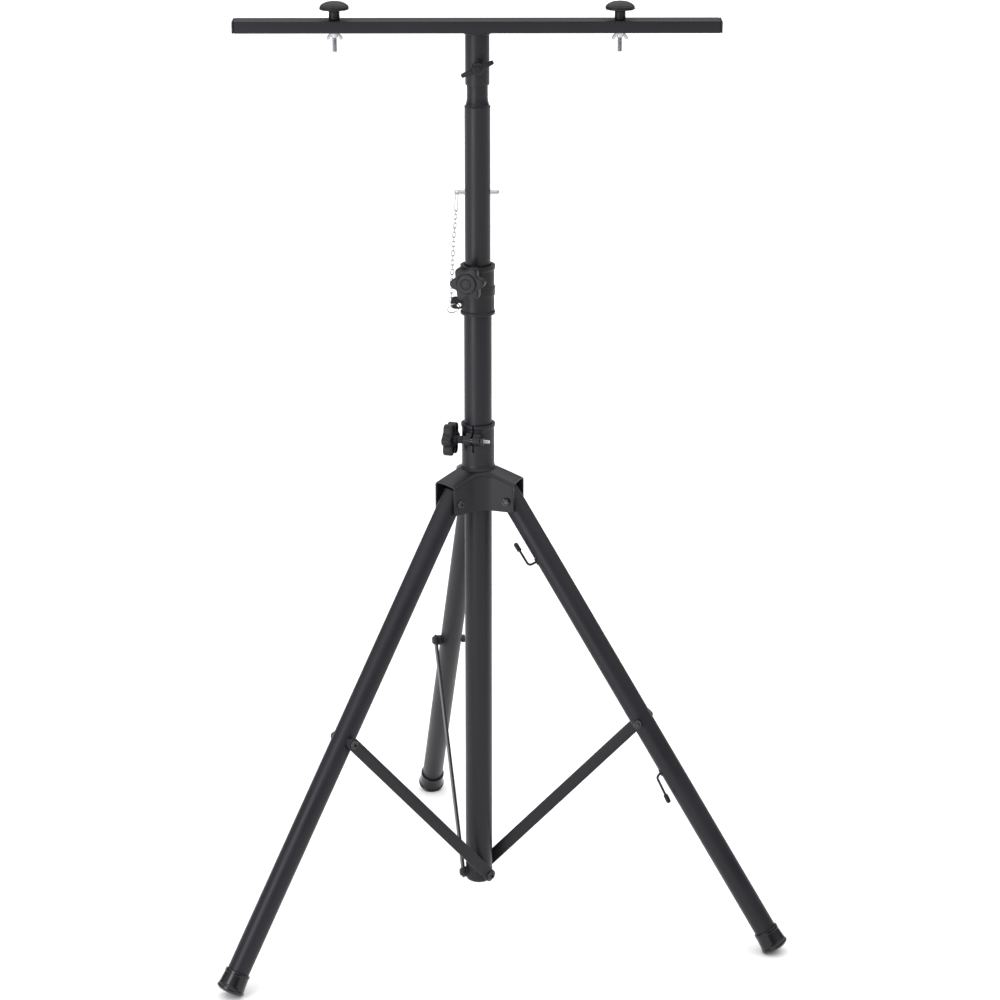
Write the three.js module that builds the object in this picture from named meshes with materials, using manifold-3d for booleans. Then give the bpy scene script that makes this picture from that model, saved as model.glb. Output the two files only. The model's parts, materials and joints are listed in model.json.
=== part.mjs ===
// A telescopic steel tripod stand with a T-bar for two lamps.
// Millimetres, +Z up. The crossbar lies along X. The origin is the middle of the footprint, on the ground.

import * as THREE from 'three';
import { mergeVertices } from 'three/addons/utils/BufferGeometryUtils.js';
import Module from 'manifold-3d';

const wasm = await Module();
wasm.setup();

// ---------------------------------------------------------------- driving dimensions

const GAP = 0.3; // between pieces that touch
const WALL = 1.2; // of every round tube
const ROUND = 24; // sides of a large round piece
const SMALL_ROUND = 12; // sides of a bolt or a pin

// Heights below are above the level of the leg ends' reference plane. The ground is where the feet end.
const MAIN = { r: 17.5, low: 62, high: 860 };
const UPPER = { r: 16, low: 370, shoulder: 1086, neck: 1095, spigotR: 13, high: 1150 };
const PIN = { r: 3, z: 976.7, left: -29, right: 27, eyeR: 1.2, eyeX: -26 };

const LEG_AZIMUTHS = [99.8, 219.8, 339.8]; // degrees, counter-clockwise from +X
const LEG = { r: 14.3, tilt: 32.47, pivotR: 45.2, pivotZ: 582, past: 12, length: 665 };
const BRACE = { width: 16, thick: 3, side: 21.3, footR: -1, footZ: 54, onLeg: 333.1, past: 7 };
const FOOT = { wideAt: 679.9, topR: 16.4, wideR: 18, tall: 27.5, edge: 5, flat: 0.7 };

const HUB = {
  low: 568, crown: 620, slope: 0.37, reach: 55, half: 19.5, wall: 2.5, fillet: 26,
  neckR: 20.7, neckTop: 678, sleeveLow: 572,
};
const HUB_CLAMP = {
  azimuth: 253, r: 26, z: 661, ear: 11, slit: 2.5, slitLow: 642,
  screwR: 2.5, stemR: 4.9, stem: 10, nut: 4, past: 12,
};

const COLLAR = { r: 20.75, lipR: 22, low: 821.4, high: 884.8, bandLow: 846, bandHigh: 857 };
const MAST_CLAMP = { azimuth: 252, z: 869.5, bossR: 9, bossEnd: 29, screwR: 4, stem: 4 };
const KNOB = { r: 19.7, wave: 2.8, lobes: 6, turn: 5, stemR: 7, thick: 12.5, capR: 12.2, cap: 2.2, bore: 7 };
const RING = { r: 8, wire: 0.6, x: -30.5, z: 827.8, slope: 30.5, turn: 50 };
const LUG = { x: -26, z: 835, half: 8, thick: 2.4, holeR: 2.8 };

const BAR = { length: 600, deep: 30, high: 15, wall: 1.5, low: 1177, cap: 2.5, plug: 12, lampX: 175 };
const SOCKET = { r: 15, bore: 13.3, low: 1112 };
const HANDLE = {
  z: 1134.8, bossR: 6, bossEnd: 18.5, span: 43, thick: 5, lean: 24, hubR: 8, near: 18.8, far: 27,
};
const LAMP = {
  boltR: 3, boltLow: 1152.5, boltPast: 11.7, stemR: 6.8, stem: 12, capR: 18.5, cap: 9.8,
  wingSpan: 21, nutR: 5, nut: 7.5,
};

const HOOK = { wire: 1.5, root: LEG.r + 2 * GAP, turn: 35, tipR: 3, tip: 10 };
const BOLT = { shankR: 2.9, holeR: 3.3, threadR: 3, headR: 6, head: 3, nut: 4.8 };
const CHAIN = { r: 1.2, steps: 22 };

// ---------------------------------------------------------------- materials

function finish(name, color, roughness, metalness) {
  return new THREE.MeshStandardMaterial({ name, color, roughness, metalness });
}

const powderCoat = finish('powder_coat', 0x2b2a2f, 0.5, 0.3);
const blackPlastic = finish('black_plastic', 0x202024, 0.45, 0);
const rubber = finish('rubber', 0x18181b, 0.4, 0);
const zinc = finish('zinc', 0xb9bbbf, 0.3, 0.9);
const blackBolt = finish('black_bolt', 0x1d1d20, 0.35, 0.7);

// ---------------------------------------------------------------- small geometry helpers

const rad = THREE.MathUtils.degToRad;
const at = (x, y, z) => new THREE.Vector3(x, y, z);

// A closed manifold solid from a three.js geometry. A shape that was drawn inside out is turned round.
function solid(geometry) {
  const bare = geometry.index ? geometry.toNonIndexed() : geometry.clone();
  for (const attribute of ['normal', 'uv']) bare.deleteAttribute(attribute);
  const merged = mergeVertices(bare, 1e-4);
  const corners = merged.index.array;
  const build = (flip) => {
    const triVerts = [];
    for (let i = 0; i < corners.length; i += 3) {
      const [a, b, c] = [corners[i], corners[i + 1], corners[i + 2]];
      if (a !== b && b !== c && c !== a) triVerts.push(...(flip ? [a, c, b] : [a, b, c]));
    }
    const mesh = new wasm.Mesh({
      numProp: 3,
      vertProperties: merged.attributes.position.array,
      triVerts: new Uint32Array(triVerts),
    });
    return new wasm.Manifold(mesh);
  };
  const made = build(false);
  return made.volume() > 0 ? made : build(true);
}

const join = (first, ...others) => others.reduce((sum, other) => sum.add(solid(other)), solid(first));
const cut = (body, ...cutters) => cutters.reduce((left, cutter) => left.subtract(solid(cutter)), body);

// A named mesh of a finished solid.
function piece(parent, name, body, material) {
  const mesh = body.getMesh();
  const geometry = new THREE.BufferGeometry();
  geometry.setAttribute('position', new THREE.BufferAttribute(new Float32Array(mesh.vertProperties), 3));
  geometry.setIndex(new THREE.BufferAttribute(new Uint32Array(mesh.triVerts), 1));
  geometry.computeVertexNormals();
  const made = new THREE.Mesh(geometry, material);
  made.name = name;
  parent.add(made);
  return made;
}

// A profile of [radius, height] pairs, turned about Z.
function turned(profile, sides = ROUND) {
  const points = profile.map(([r, z]) => new THREE.Vector2(r, z));
  return new THREE.LatheGeometry(points, sides).rotateX(Math.PI / 2);
}

// A closed ring or pipe about Z.
function pipe(outer, inner, low, high, sides = ROUND) {
  return turned([[inner, low], [outer, low], [outer, high], [inner, high], [inner, low]], sides);
}

// A round rod from one point to another.
function rod(r, from, to, sides = SMALL_ROUND) {
  const along = to.clone().sub(from);
  const geometry = new THREE.CylinderGeometry(r, r, along.length(), sides);
  geometry.applyQuaternion(new THREE.Quaternion().setFromUnitVectors(at(0, 1, 0), along.normalize()));
  const middle = from.clone().add(to).multiplyScalar(0.5);
  return geometry.translate(middle.x, middle.y, middle.z);
}

function block(x, y, z, centre) {
  return new THREE.BoxGeometry(x, y, z).translate(centre.x, centre.y, centre.z);
}

// A rectangle with round corners, centred on (x, y).
function roundedRect(width, height, corner, x = 0, y = 0) {
  const shape = new THREE.Shape();
  const [w, h] = [width / 2 - corner, height / 2 - corner];
  shape.absarc(x + w, y + h, corner, 0, Math.PI / 2);
  shape.absarc(x - w, y + h, corner, Math.PI / 2, Math.PI);
  shape.absarc(x - w, y - h, corner, Math.PI, Math.PI * 1.5);
  shape.absarc(x + w, y - h, corner, Math.PI * 1.5, Math.PI * 2);
  return shape;
}

function plate(shape, depth, curveSegments = 4, bevel = 0) {
  return new THREE.ExtrudeGeometry(shape, {
    depth: depth - 2 * bevel,
    curveSegments,
    bevelEnabled: bevel > 0,
    bevelThickness: bevel,
    bevelSize: bevel,
    bevelOffset: -bevel,
    bevelSegments: 1,
  }).translate(0, 0, bevel);
}

// A round wire or cord along a curve.
function wire(r, curve, steps, sides = 6) {
  const section = new THREE.Shape();
  section.absarc(0, 0, r, 0, Math.PI * 2);
  return new THREE.ExtrudeGeometry(section, { steps, curveSegments: sides, extrudePath: curve });
}

function group(parent, place = () => {}) {
  const made = new THREE.Group();
  place(made);
  parent.add(made);
  return made;
}

// A frame whose +Z points along a level direction, at a height. Clamp screws are built in it.
function clampFrame(parent, azimuth, z, r = 0) {
  const [c, s] = [Math.cos(rad(azimuth)), Math.sin(rad(azimuth))];
  return group(parent, (g) => {
    g.position.set(r * c, r * s, z);
    g.quaternion.setFromRotationMatrix(
      new THREE.Matrix4().makeBasis(at(-s, c, 0), at(0, 0, 1), at(c, s, 0)),
    );
  });
}

// ---------------------------------------------------------------- column

const stand = new THREE.Group();

function column() {
  piece(stand, 'main_tube', solid(pipe(MAIN.r, MAIN.r - WALL, MAIN.low, MAIN.high)), powderCoat);

  const plug = turned([
    [0, 42], [13, 42], [16.4, 44], [MAIN.r, 47], [MAIN.r, MAIN.low - GAP],
    [MAIN.r - WALL - GAP, MAIN.low - GAP], [MAIN.r - WALL - GAP, 80], [0, 80],
  ]);
  const lugs = [];
  const threads = [];
  for (const azimuth of LEG_AZIMUTHS) {
    const turn = (geometry) => geometry.rotateZ(rad(azimuth));
    const face = BRACE.side - BRACE.thick / 2 - GAP;
    const along = (t) => at(BRACE.footR, t, BRACE.footZ);
    lugs.push(turn(rod(7, along(9), along(face), 24)));
    threads.push(turn(rod(3.2, along(9.5), along(face + 1))));
  }
  piece(stand, 'base_boss', cut(join(plug, ...lugs), ...threads), powderCoat);

  LEG_AZIMUTHS.forEach((azimuth, i) => {
    const side = group(stand, (g) => g.rotateZ(rad(azimuth)));
    const along = (t) => at(BRACE.footR, t, BRACE.footZ);
    const seat = BRACE.side + BRACE.thick / 2 + GAP;
    const bolt = join(
      rod(BOLT.shankR, along(10), along(seat + 1)), rod(BOLT.headR, along(seat), along(seat + BOLT.head), 6),
    );
    piece(side, `base_bolt_${i + 1}`, bolt, blackBolt);
  });
}

// ---------------------------------------------------------------- clamp knobs

// A star knob that faces +Z, standing on its stem at z = 0, and the cap on its front.
function starKnob(parent, name, stemR, stem, boreR) {
  const star = new THREE.Shape();
  const points = 42;
  for (let i = 0; i < points; i++) {
    const angle = (i / points) * Math.PI * 2;
    const r = KNOB.r + KNOB.wave * Math.cos(KNOB.lobes * (angle - rad(KNOB.turn)));
    if (i === 0) star.moveTo(r * Math.cos(angle), r * Math.sin(angle));
    else star.lineTo(r * Math.cos(angle), r * Math.sin(angle));
  }
  star.closePath();
  const body = join(
    plate(star, KNOB.thick, 1, 1.5).translate(0, 0, stem),
    rod(stemR, at(0, 0, 0), at(0, 0, stem + 1), 20),
  );
  piece(parent, name, cut(body, rod(boreR, at(0, 0, -1), at(0, 0, stem + KNOB.bore))), blackPlastic);

  const face = stem + KNOB.thick + GAP;
  const cap = turned([
    [0, face], [KNOB.capR, face], [KNOB.capR, face + KNOB.cap / 2],
    [KNOB.capR - 1, face + KNOB.cap], [0, face + KNOB.cap],
  ], 20);
  piece(parent, `${name}_cap`, solid(cap), blackPlastic);
}

// ---------------------------------------------------------------- mast collar, its knob and the pin's ring

function mastCollar() {
  const { r, lipR, low, high, bandLow, bandHigh } = COLLAR;
  const mouth = MAIN.high + GAP;
  const sleeve = turned([
    [MAIN.r + GAP, low], [lipR, low], [lipR, low + 3.5], [r, low + 5.5],
    [r, bandLow - 1], [r + 1.2, bandLow], [r + 1.2, bandHigh], [r, bandHigh + 1],
    [r, high - 7], [lipR, high - 5], [lipR, high - 1], [lipR - 1, high],
    [UPPER.r + GAP + 0.7, high], [UPPER.r + GAP, high - 1.5], [UPPER.r + GAP, mouth], [MAIN.r + GAP, mouth],
    [MAIN.r + GAP, low],
  ]);
  const out = at(Math.cos(rad(MAST_CLAMP.azimuth)), Math.sin(rad(MAST_CLAMP.azimuth)), 0);
  const along = (d) => out.clone().multiplyScalar(d).setZ(MAST_CLAMP.z);
  const boss = rod(MAST_CLAMP.bossR, along(18), along(MAST_CLAMP.bossEnd), 24);
  const lug = plate(roundedRect(2 * LUG.half, 2 * LUG.half, 4, LUG.x, LUG.z), LUG.thick)
    .rotateX(Math.PI / 2).translate(0, LUG.thick / 2, 0);
  const body = cut(
    join(sleeve, boss, lug),
    rod(MAIN.r + GAP, at(0, 0, low - 1), at(0, 0, mouth), ROUND),
    rod(MAST_CLAMP.screwR + GAP, along(10), along(MAST_CLAMP.bossEnd + 1)),
    rod(LUG.holeR, ringPoint(0).setY(-5), ringPoint(0).setY(5)),
  );
  piece(stand, 'mast_collar', body, blackPlastic);

  const knobFrame = clampFrame(stand, MAST_CLAMP.azimuth, MAST_CLAMP.z, MAST_CLAMP.bossEnd + GAP);
  const { screwR, stem } = MAST_CLAMP;
  starKnob(knobFrame, 'mast_knob', KNOB.stemR, stem, screwR + GAP);
  const tip = UPPER.r - MAST_CLAMP.bossEnd;
  const screw = rod(screwR, at(0, 0, tip), at(0, 0, stem + KNOB.bore - GAP));
  piece(knobFrame, 'mast_knob_screw', solid(screw), zinc);
}

// The split ring leans so that it passes through the lug's hole. Angle 0 is the point in the hole.
function ringAxes() {
  const toHole = at(Math.cos(rad(RING.slope)), 0, Math.sin(rad(RING.slope)));
  const across = at(-Math.sin(rad(RING.slope)), 0, Math.cos(rad(RING.slope)));
  const wireWay = at(0, -Math.cos(rad(RING.turn)), 0).addScaledVector(across, Math.sin(rad(RING.turn)));
  return [toHole, wireWay];
}

function ringPoint(angle) {
  const [toHole, wireWay] = ringAxes();
  return at(RING.x, 0, RING.z)
    .addScaledVector(toHole, RING.r * Math.cos(angle))
    .addScaledVector(wireWay, RING.r * Math.sin(angle));
}

function pinRing() {
  const [toHole, wireWay] = ringAxes();
  const frame = group(stand, (g) => {
    g.position.set(RING.x, 0, RING.z);
    g.quaternion.setFromRotationMatrix(
      new THREE.Matrix4().makeBasis(toHole, wireWay, toHole.clone().cross(wireWay)),
    );
  });
  piece(frame, 'pin_ring', solid(new THREE.TorusGeometry(RING.r, RING.wire, 6, 24)), zinc);
}

// ---------------------------------------------------------------- upper mast, safety pin and its chain

function mast() {
  const { r, low, shoulder, neck, spigotR, high } = UPPER;
  const tube = turned([
    [r - WALL, low], [r, low], [r, shoulder], [spigotR, neck], [spigotR, high],
    [spigotR - WALL, high], [spigotR - WALL, neck + 0.5], [r - WALL, shoulder + 0.5], [r - WALL, low],
  ]);
  const pinHole = rod(PIN.r + 0.4, at(-20, 0, PIN.z), at(20, 0, PIN.z));
  piece(stand, 'upper_tube', cut(solid(tube), pinHole), powderCoat);

  const bushR = r - WALL - GAP;
  const bush = turned([
    [0, low - 8], [r, low - 8], [r, low - GAP], [bushR, low - GAP], [bushR, low + 15], [0, low + 15],
  ]);
  piece(stand, 'guide_bush', solid(bush), blackPlastic);

  const long = PIN.right - PIN.left;
  const profile = [[0, 0], [PIN.r, 0], [PIN.r, long - 1.5], [PIN.r - 1.5, long], [0, long]];
  const shank = turned(profile, SMALL_ROUND).rotateY(Math.PI / 2).translate(PIN.left, 0, PIN.z);
  const eye = rod(PIN.eyeR, at(PIN.eyeX, -5, PIN.z), at(PIN.eyeX, 5, PIN.z), 12);
  piece(stand, 'safety_pin', cut(solid(shank), eye), zinc);

  // The chain hangs from the pin's eye, behind the collar's lug, and ends beside the ring.
  const route = new THREE.CatmullRomCurve3([
    at(PIN.eyeX, 0.5, PIN.z - PIN.r - GAP),
    at(-27, 4, 955),
    at(-28.5, 8.5, 936),
    at(-30.5, 10.5, 910),
    at(-32, 11, 880),
    at(-33.3, 11, 850),
    at(-34, 11, 824),
  ]);
  piece(stand, 'pin_chain', solid(wire(CHAIN.r, route, CHAIN.steps)), zinc);
}

// ---------------------------------------------------------------- T-bar head

function head() {
  const top = BAR.low + BAR.high;
  const middle = BAR.low + BAR.high / 2;
  const tubeLength = BAR.length - 2 * (BAR.cap + GAP);
  const outline = roundedRect(BAR.high, BAR.deep, 2);
  const inside = roundedRect(BAR.high - 2 * BAR.wall, BAR.deep - 2 * BAR.wall, 1);
  const along = (shape, length) =>
    plate(shape, length).rotateY(Math.PI / 2).translate(-length / 2, 0, middle);
  const holes = [-1, 1].map((side) => {
    const x = side * BAR.lampX;
    return rod(LAMP.boltR + 0.4, at(x, 0, BAR.low - 2), at(x, 0, top + 2));
  });
  const tube = cut(solid(along(outline, tubeLength)), along(inside, tubeLength + 2), ...holes);
  piece(stand, 'crossbar', tube, powderCoat);

  for (const [name, side] of [['left', -1], ['right', 1]]) {
    const flange = plate(outline, BAR.cap).rotateY(Math.PI / 2).translate(-BAR.cap, 0, 0);
    const plug = roundedRect(BAR.high - 2 * BAR.wall - 2 * GAP, BAR.deep - 2 * BAR.wall - 2 * GAP, 1);
    const insert = plate(plug, BAR.plug).rotateY(Math.PI / 2).translate(GAP / 2 - BAR.cap - BAR.plug, 0, 0);
    const frame = group(stand, (g) => {
      g.position.set(side * BAR.length / 2, 0, middle);
      if (side < 0) g.rotateZ(Math.PI);
    });
    piece(frame, `bar_cap_${name}`, join(flange, insert), blackPlastic);
  }

  const screwWay = (d) => at(0, -d, HANDLE.z);
  const socket = join(
    turned([
      [SOCKET.bore, SOCKET.low], [SOCKET.r - 0.8, SOCKET.low], [SOCKET.r, SOCKET.low + 0.8],
      [SOCKET.r, BAR.low - GAP], [SOCKET.bore, BAR.low - GAP], [SOCKET.bore, SOCKET.low],
    ]),
    rod(HANDLE.bossR, screwWay(SOCKET.bore + 0.8), screwWay(HANDLE.bossEnd), 6),
  );
  piece(stand, 'socket_tube', cut(socket, rod(LAMP.boltR + GAP, screwWay(5), screwWay(20))), powderCoat);

  // T-handle clamp screw, with its wings leaning up to the right.
  const handle = clampFrame(stand, 270, HANDLE.z);
  const wings = plate(roundedRect(HANDLE.span, HANDLE.thick, 2.4), 5).translate(0, 0, HANDLE.near + 1.5);
  const boss = turned([
    [0, HANDLE.near], [HANDLE.hubR - 1.5, HANDLE.near], [HANDLE.hubR, HANDLE.near + 1.5],
    [HANDLE.hubR - 1, HANDLE.far - 1.5], [HANDLE.hubR - 3, HANDLE.far], [0, HANDLE.far],
  ], 24);
  const bore = rod(LAMP.boltR + GAP, at(0, 0, HANDLE.near - 1), at(0, 0, 25));
  const wingBody = cut(join(wings.rotateZ(rad(HANDLE.lean)), boss), bore);
  piece(handle, 'socket_handle', wingBody, blackPlastic);
  piece(handle, 'socket_screw', solid(rod(LAMP.boltR, at(0, 0, UPPER.spigotR + GAP), at(0, 0, 24.7))), zinc);

  for (const [name, side] of [['left', -1], ['right', 1]]) lampClamp(name, side * BAR.lampX, top);
}

// One lamp fixing: a mushroom knob on its bolt above the bar and a wing nut below it.
function lampClamp(name, x, top) {
  const frame = group(stand, (g) => g.position.set(x, 0, 0));
  const seat = top + GAP;
  const cap = seat + LAMP.stem;
  const mushroom = turned([
    [0, seat], [LAMP.stemR, seat], [LAMP.stemR, cap - 1.5], [LAMP.stemR + 2, cap], [LAMP.capR - 1, cap + 0.8],
    [LAMP.capR, cap + 1.8], [LAMP.capR - 0.5, cap + 4], [LAMP.capR - 4, cap + 7], [LAMP.capR - 9, cap + 9],
    [5, cap + LAMP.cap], [0, cap + LAMP.cap],
  ], 28);
  const bore = rod(LAMP.boltR + GAP, at(0, 0, seat - 1), at(0, 0, seat + LAMP.boltPast + GAP));
  piece(frame, `lamp_knob_${name}`, cut(solid(mushroom), bore), blackPlastic);
  const bolt = rod(LAMP.boltR, at(0, 0, LAMP.boltLow), at(0, 0, seat + LAMP.boltPast));
  piece(frame, `lamp_bolt_${name}`, solid(bolt), zinc);

  const nutTop = BAR.low - GAP;
  const nut = turned([
    [0, nutTop - LAMP.nut], [LAMP.nutR - 1, nutTop - LAMP.nut], [LAMP.nutR, nutTop - LAMP.nut + 1],
    [LAMP.nutR + 0.6, nutTop], [0, nutTop],
  ], 20);
  const wing = new THREE.Shape();
  wing.moveTo(3, nutTop - 1);
  wing.lineTo(6.5, nutTop - 1);
  wing.absarc(LAMP.wingSpan / 2 - 2.4, nutTop - 7.4, 2.4, Math.PI * 0.2, -Math.PI * 0.7, true);
  wing.lineTo(3, nutTop - 5.5);
  const wings = [0, Math.PI].map((turn) =>
    plate(wing, 2, 6).rotateX(Math.PI / 2).translate(0, 1, 0).rotateZ(turn));
  const thread = rod(LAMP.boltR + GAP, at(0, 0, nutTop - 12), at(0, 0, nutTop + 1));
  piece(frame, `wing_nut_${name}`, cut(join(nut, ...wings), thread), zinc);
}

// ---------------------------------------------------------------- hub

// The pressed leg bracket as a closed form: three arms joined by hollow webs, under a shallow cone.
// With an inset it is the cavity, which runs out past the ends of the arms.
function hubForm(inset) {
  const half = HUB.half - inset;
  const reach = HUB.reach + 4 * inset;
  const fillet = HUB.fillet + inset;
  const webCentre = (half + fillet) / Math.sin(Math.PI / 3);
  const low = HUB.low - 2 * inset;
  const crown = HUB.crown - 1.1 * inset;
  const steps = 6;

  const rim = [];
  for (const azimuth of LEG_AZIMUTHS) {
    const a = rad(azimuth);
    for (const t of [-half, half]) {
      rim.push([reach * Math.cos(a) - t * Math.sin(a), reach * Math.sin(a) + t * Math.cos(a)]);
    }
    const middle = a + Math.PI / 3;
    for (let i = 0; i <= steps; i++) {
      const b = middle + Math.PI + Math.PI / 6 - (i / steps) * (Math.PI / 3);
      rim.push([
        webCentre * Math.cos(middle) + fillet * Math.cos(b),
        webCentre * Math.sin(middle) + fillet * Math.sin(b),
      ]);
    }
  }
  const neck = HUB.neckR - 1;
  const height = ([x, y]) => crown - HUB.slope * (Math.hypot(x, y) - neck);
  const floor = rim.map(([x, y]) => at(x, y, low));
  const edge = rim.map(([x, y]) => at(x, y, height([x, y])));
  const top = edge.map((p) => p.clone().setZ(0).setLength(neck).setZ(crown));
  const points = [];
  const quad = (a, b, c, d) => points.push(a, b, c, a, c, d);
  for (let i = 0; i < rim.length; i++) {
    const j = (i + 1) % rim.length;
    points.push(at(0, 0, low), floor[j], floor[i]);
    quad(floor[i], floor[j], edge[j], edge[i]);
    quad(edge[i], edge[j], top[j], top[i]);
    points.push(at(0, 0, crown), top[i], top[j]);
  }
  return new THREE.BufferGeometry().setFromPoints(points);
}

function hub() {
  const shell = cut(solid(hubForm(0)), hubForm(HUB.wall));
  const { neckR, neckTop, crown } = HUB;
  const neck = turned([
    [0, HUB.sleeveLow], [neckR, HUB.sleeveLow], [neckR, crown - 1], [neckR + 1.6, crown - 1],
    [neckR, crown + 4], [neckR, neckTop - 5], [neckR + 1, neckTop - 3.5], [neckR + 1, neckTop], [0, neckTop],
  ]);

  // The split and its two ears face the clamp's azimuth. The screw runs across them.
  const facing = (geometry) => geometry.rotateZ(rad(HUB_CLAMP.azimuth));
  const { r, z, ear, slit, slitLow, screwR } = HUB_CLAMP;
  const barrel = facing(rod(5.2, at(r, -ear - 1, z), at(r, ear, z), 20));
  const ears = facing(block(10, 2 * ear, 10.4, at(r - 5, 0, z)));
  const split = facing(block(24, slit, neckTop - slitLow + 2, at(r - 3, 0, (neckTop + slitLow) / 2 + 1)));
  const screwHole = facing(rod(screwR + GAP, at(r, -30, z), at(r, 30, z)));
  const bore = rod(MAIN.r + GAP, at(0, 0, HUB.low - 10), at(0, 0, neckTop + 5), ROUND);
  const pivots = LEG_AZIMUTHS.map((azimuth) => legBolt(3.3, 30, -30).rotateZ(rad(azimuth)));

  const body = shell.add(join(neck, barrel, ears));
  piece(stand, 'hub', cut(body, bore, split, screwHole, ...pivots), powderCoat);

  LEG_AZIMUTHS.forEach((azimuth, i) => {
    const side = group(stand, (g) => g.rotateZ(rad(azimuth)));
    const wallFace = HUB.half + GAP;
    const bolt = join(legBolt(3, wallFace + 1, -wallFace - 3), legBolt(5.5, wallFace + 3, wallFace, 18));
    piece(side, `leg_pivot_bolt_${i + 1}`, bolt, blackBolt);
    const nut = cut(solid(legBolt(5.2, -wallFace, -wallFace - 4, 6)), legBolt(3.3, 30, -30));
    piece(side, `leg_pivot_nut_${i + 1}`, nut, blackBolt);
  });

  // The clamp screw's knob is on the left. Its nut is on the far ear.
  const knobFrame = group(stand, (g) => {
    const c = Math.cos(rad(HUB_CLAMP.azimuth));
    const s = Math.sin(rad(HUB_CLAMP.azimuth));
    g.position.set(r * c + s * (ear + 1 + GAP), r * s - c * (ear + 1 + GAP), z);
    g.quaternion.setFromRotationMatrix(
      new THREE.Matrix4().makeBasis(at(c, s, 0), at(0, 0, 1), at(s, -c, 0)),
    );
  });
  starKnob(knobFrame, 'hub_knob', HUB_CLAMP.stemR, HUB_CLAMP.stem, screwR + GAP);
  const back = -(2 * ear + 1 + GAP);
  const screw = rod(screwR, at(0, 0, back - HUB_CLAMP.past), at(0, 0, HUB_CLAMP.stem + KNOB.bore - GAP));
  piece(knobFrame, 'hub_screw', solid(screw), zinc);
  const hex = rod(4.6, at(0, 0, back - GAP - HUB_CLAMP.nut), at(0, 0, back - GAP), 6);
  const thread = rod(screwR + GAP, at(0, 0, back - 20), at(0, 0, back + 10));
  piece(knobFrame, 'hub_nut', cut(solid(hex), thread), zinc);
}

// A rod across the leg's pivot, from one sideways distance to another.
function legBolt(r, from, to, sides = SMALL_ROUND) {
  return rod(r, at(LEG.pivotR, from, LEG.pivotZ), at(LEG.pivotR, to, LEG.pivotZ), sides);
}

// ---------------------------------------------------------------- legs and braces

// In a leg's own frame the pivot is at 0, the leg runs down -Z, and -X faces the mast.
function leg(azimuth, i) {
  const side = group(stand, (g) => g.rotateZ(rad(azimuth)));
  const frame = group(side, (g) => {
    g.position.set(LEG.pivotR, 0, LEG.pivotZ);
    g.rotateY(-rad(LEG.tilt));
  });
  const hole = (z) => rod(BOLT.holeR, at(0, -30, z), at(0, 30, z));
  const tube = cut(solid(pipe(LEG.r, LEG.r - WALL, -LEG.length, LEG.past, 20)), hole(0), hole(-BRACE.onLeg));
  piece(frame, `leg_tube_${i}`, tube, powderCoat);
  piece(frame, `foot_${i}`, foot(), rubber);

  const z = -BRACE.onLeg;
  const strip = BRACE.side - BRACE.thick / 2 - GAP;
  const saddle = cut(
    solid(rod(6.5, at(0, 10, z), at(0, strip, z), 20)), hole(z),
    rod(LEG.r + GAP, at(0, 0, z - 20), at(0, 0, z + 20), 20),
  );
  piece(frame, `saddle_${i}`, saddle, blackPlastic);
  const washer = -LEG.r - 1.5;
  const bolt = join(
    rod(BOLT.threadR, at(0, washer - 1, z), at(0, strip, z)),
    rod(BOLT.headR, at(0, washer - BOLT.nut, z), at(0, washer, z), 6),
  );
  piece(frame, `brace_bolt_${i}`, bolt, blackBolt);
  return frame;
}

// The rubber foot cups the tube's end. Its lowest edge is cut level with the ground.
function foot() {
  const end = -FOOT.wideAt;
  const edge = [];
  for (let i = 0; i <= 3; i++) {
    const a = (i / 3) * (Math.PI / 2);
    edge.push([FOOT.wideR - FOOT.edge + FOOT.edge * Math.cos(a), end + FOOT.edge * (1 - Math.sin(a))]);
  }
  const cup = turned([
    [LEG.r + GAP, -LEG.length - GAP], [LEG.r + GAP, end + FOOT.tall], [FOOT.topR - 0.6, end + FOOT.tall],
    [FOOT.topR, end + FOOT.tall - 1], [FOOT.topR + 0.6, end + 10], ...edge,
    [0, end - 1.5], [0, -LEG.length - GAP], [LEG.r + GAP, -LEG.length - GAP],
  ], 20);
  const ground = new THREE.BoxGeometry(90, 90, 40)
    .translate(0, 0, groundLevel() - 20)
    .translate(-LEG.pivotR, 0, -LEG.pivotZ)
    .rotateY(rad(LEG.tilt));
  const reach = Math.tan(rad(LEG.tilt)) * LEG.pivotZ;
  ground.translate(reach * Math.cos(rad(LEG.tilt)), 0, -reach * Math.sin(rad(LEG.tilt)));
  return cut(solid(cup), ground);
}

// How high the ground lies in this file's heights: a little above the foot's lowest edge.
function groundLevel() {
  const tilt = rad(LEG.tilt);
  const edgeAt = FOOT.wideAt - FOOT.edge;
  const edgeCentre = LEG.pivotZ - edgeAt * Math.cos(tilt) - (FOOT.wideR - FOOT.edge) * Math.sin(tilt);
  return edgeCentre - FOOT.edge + FOOT.flat;
}

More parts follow.
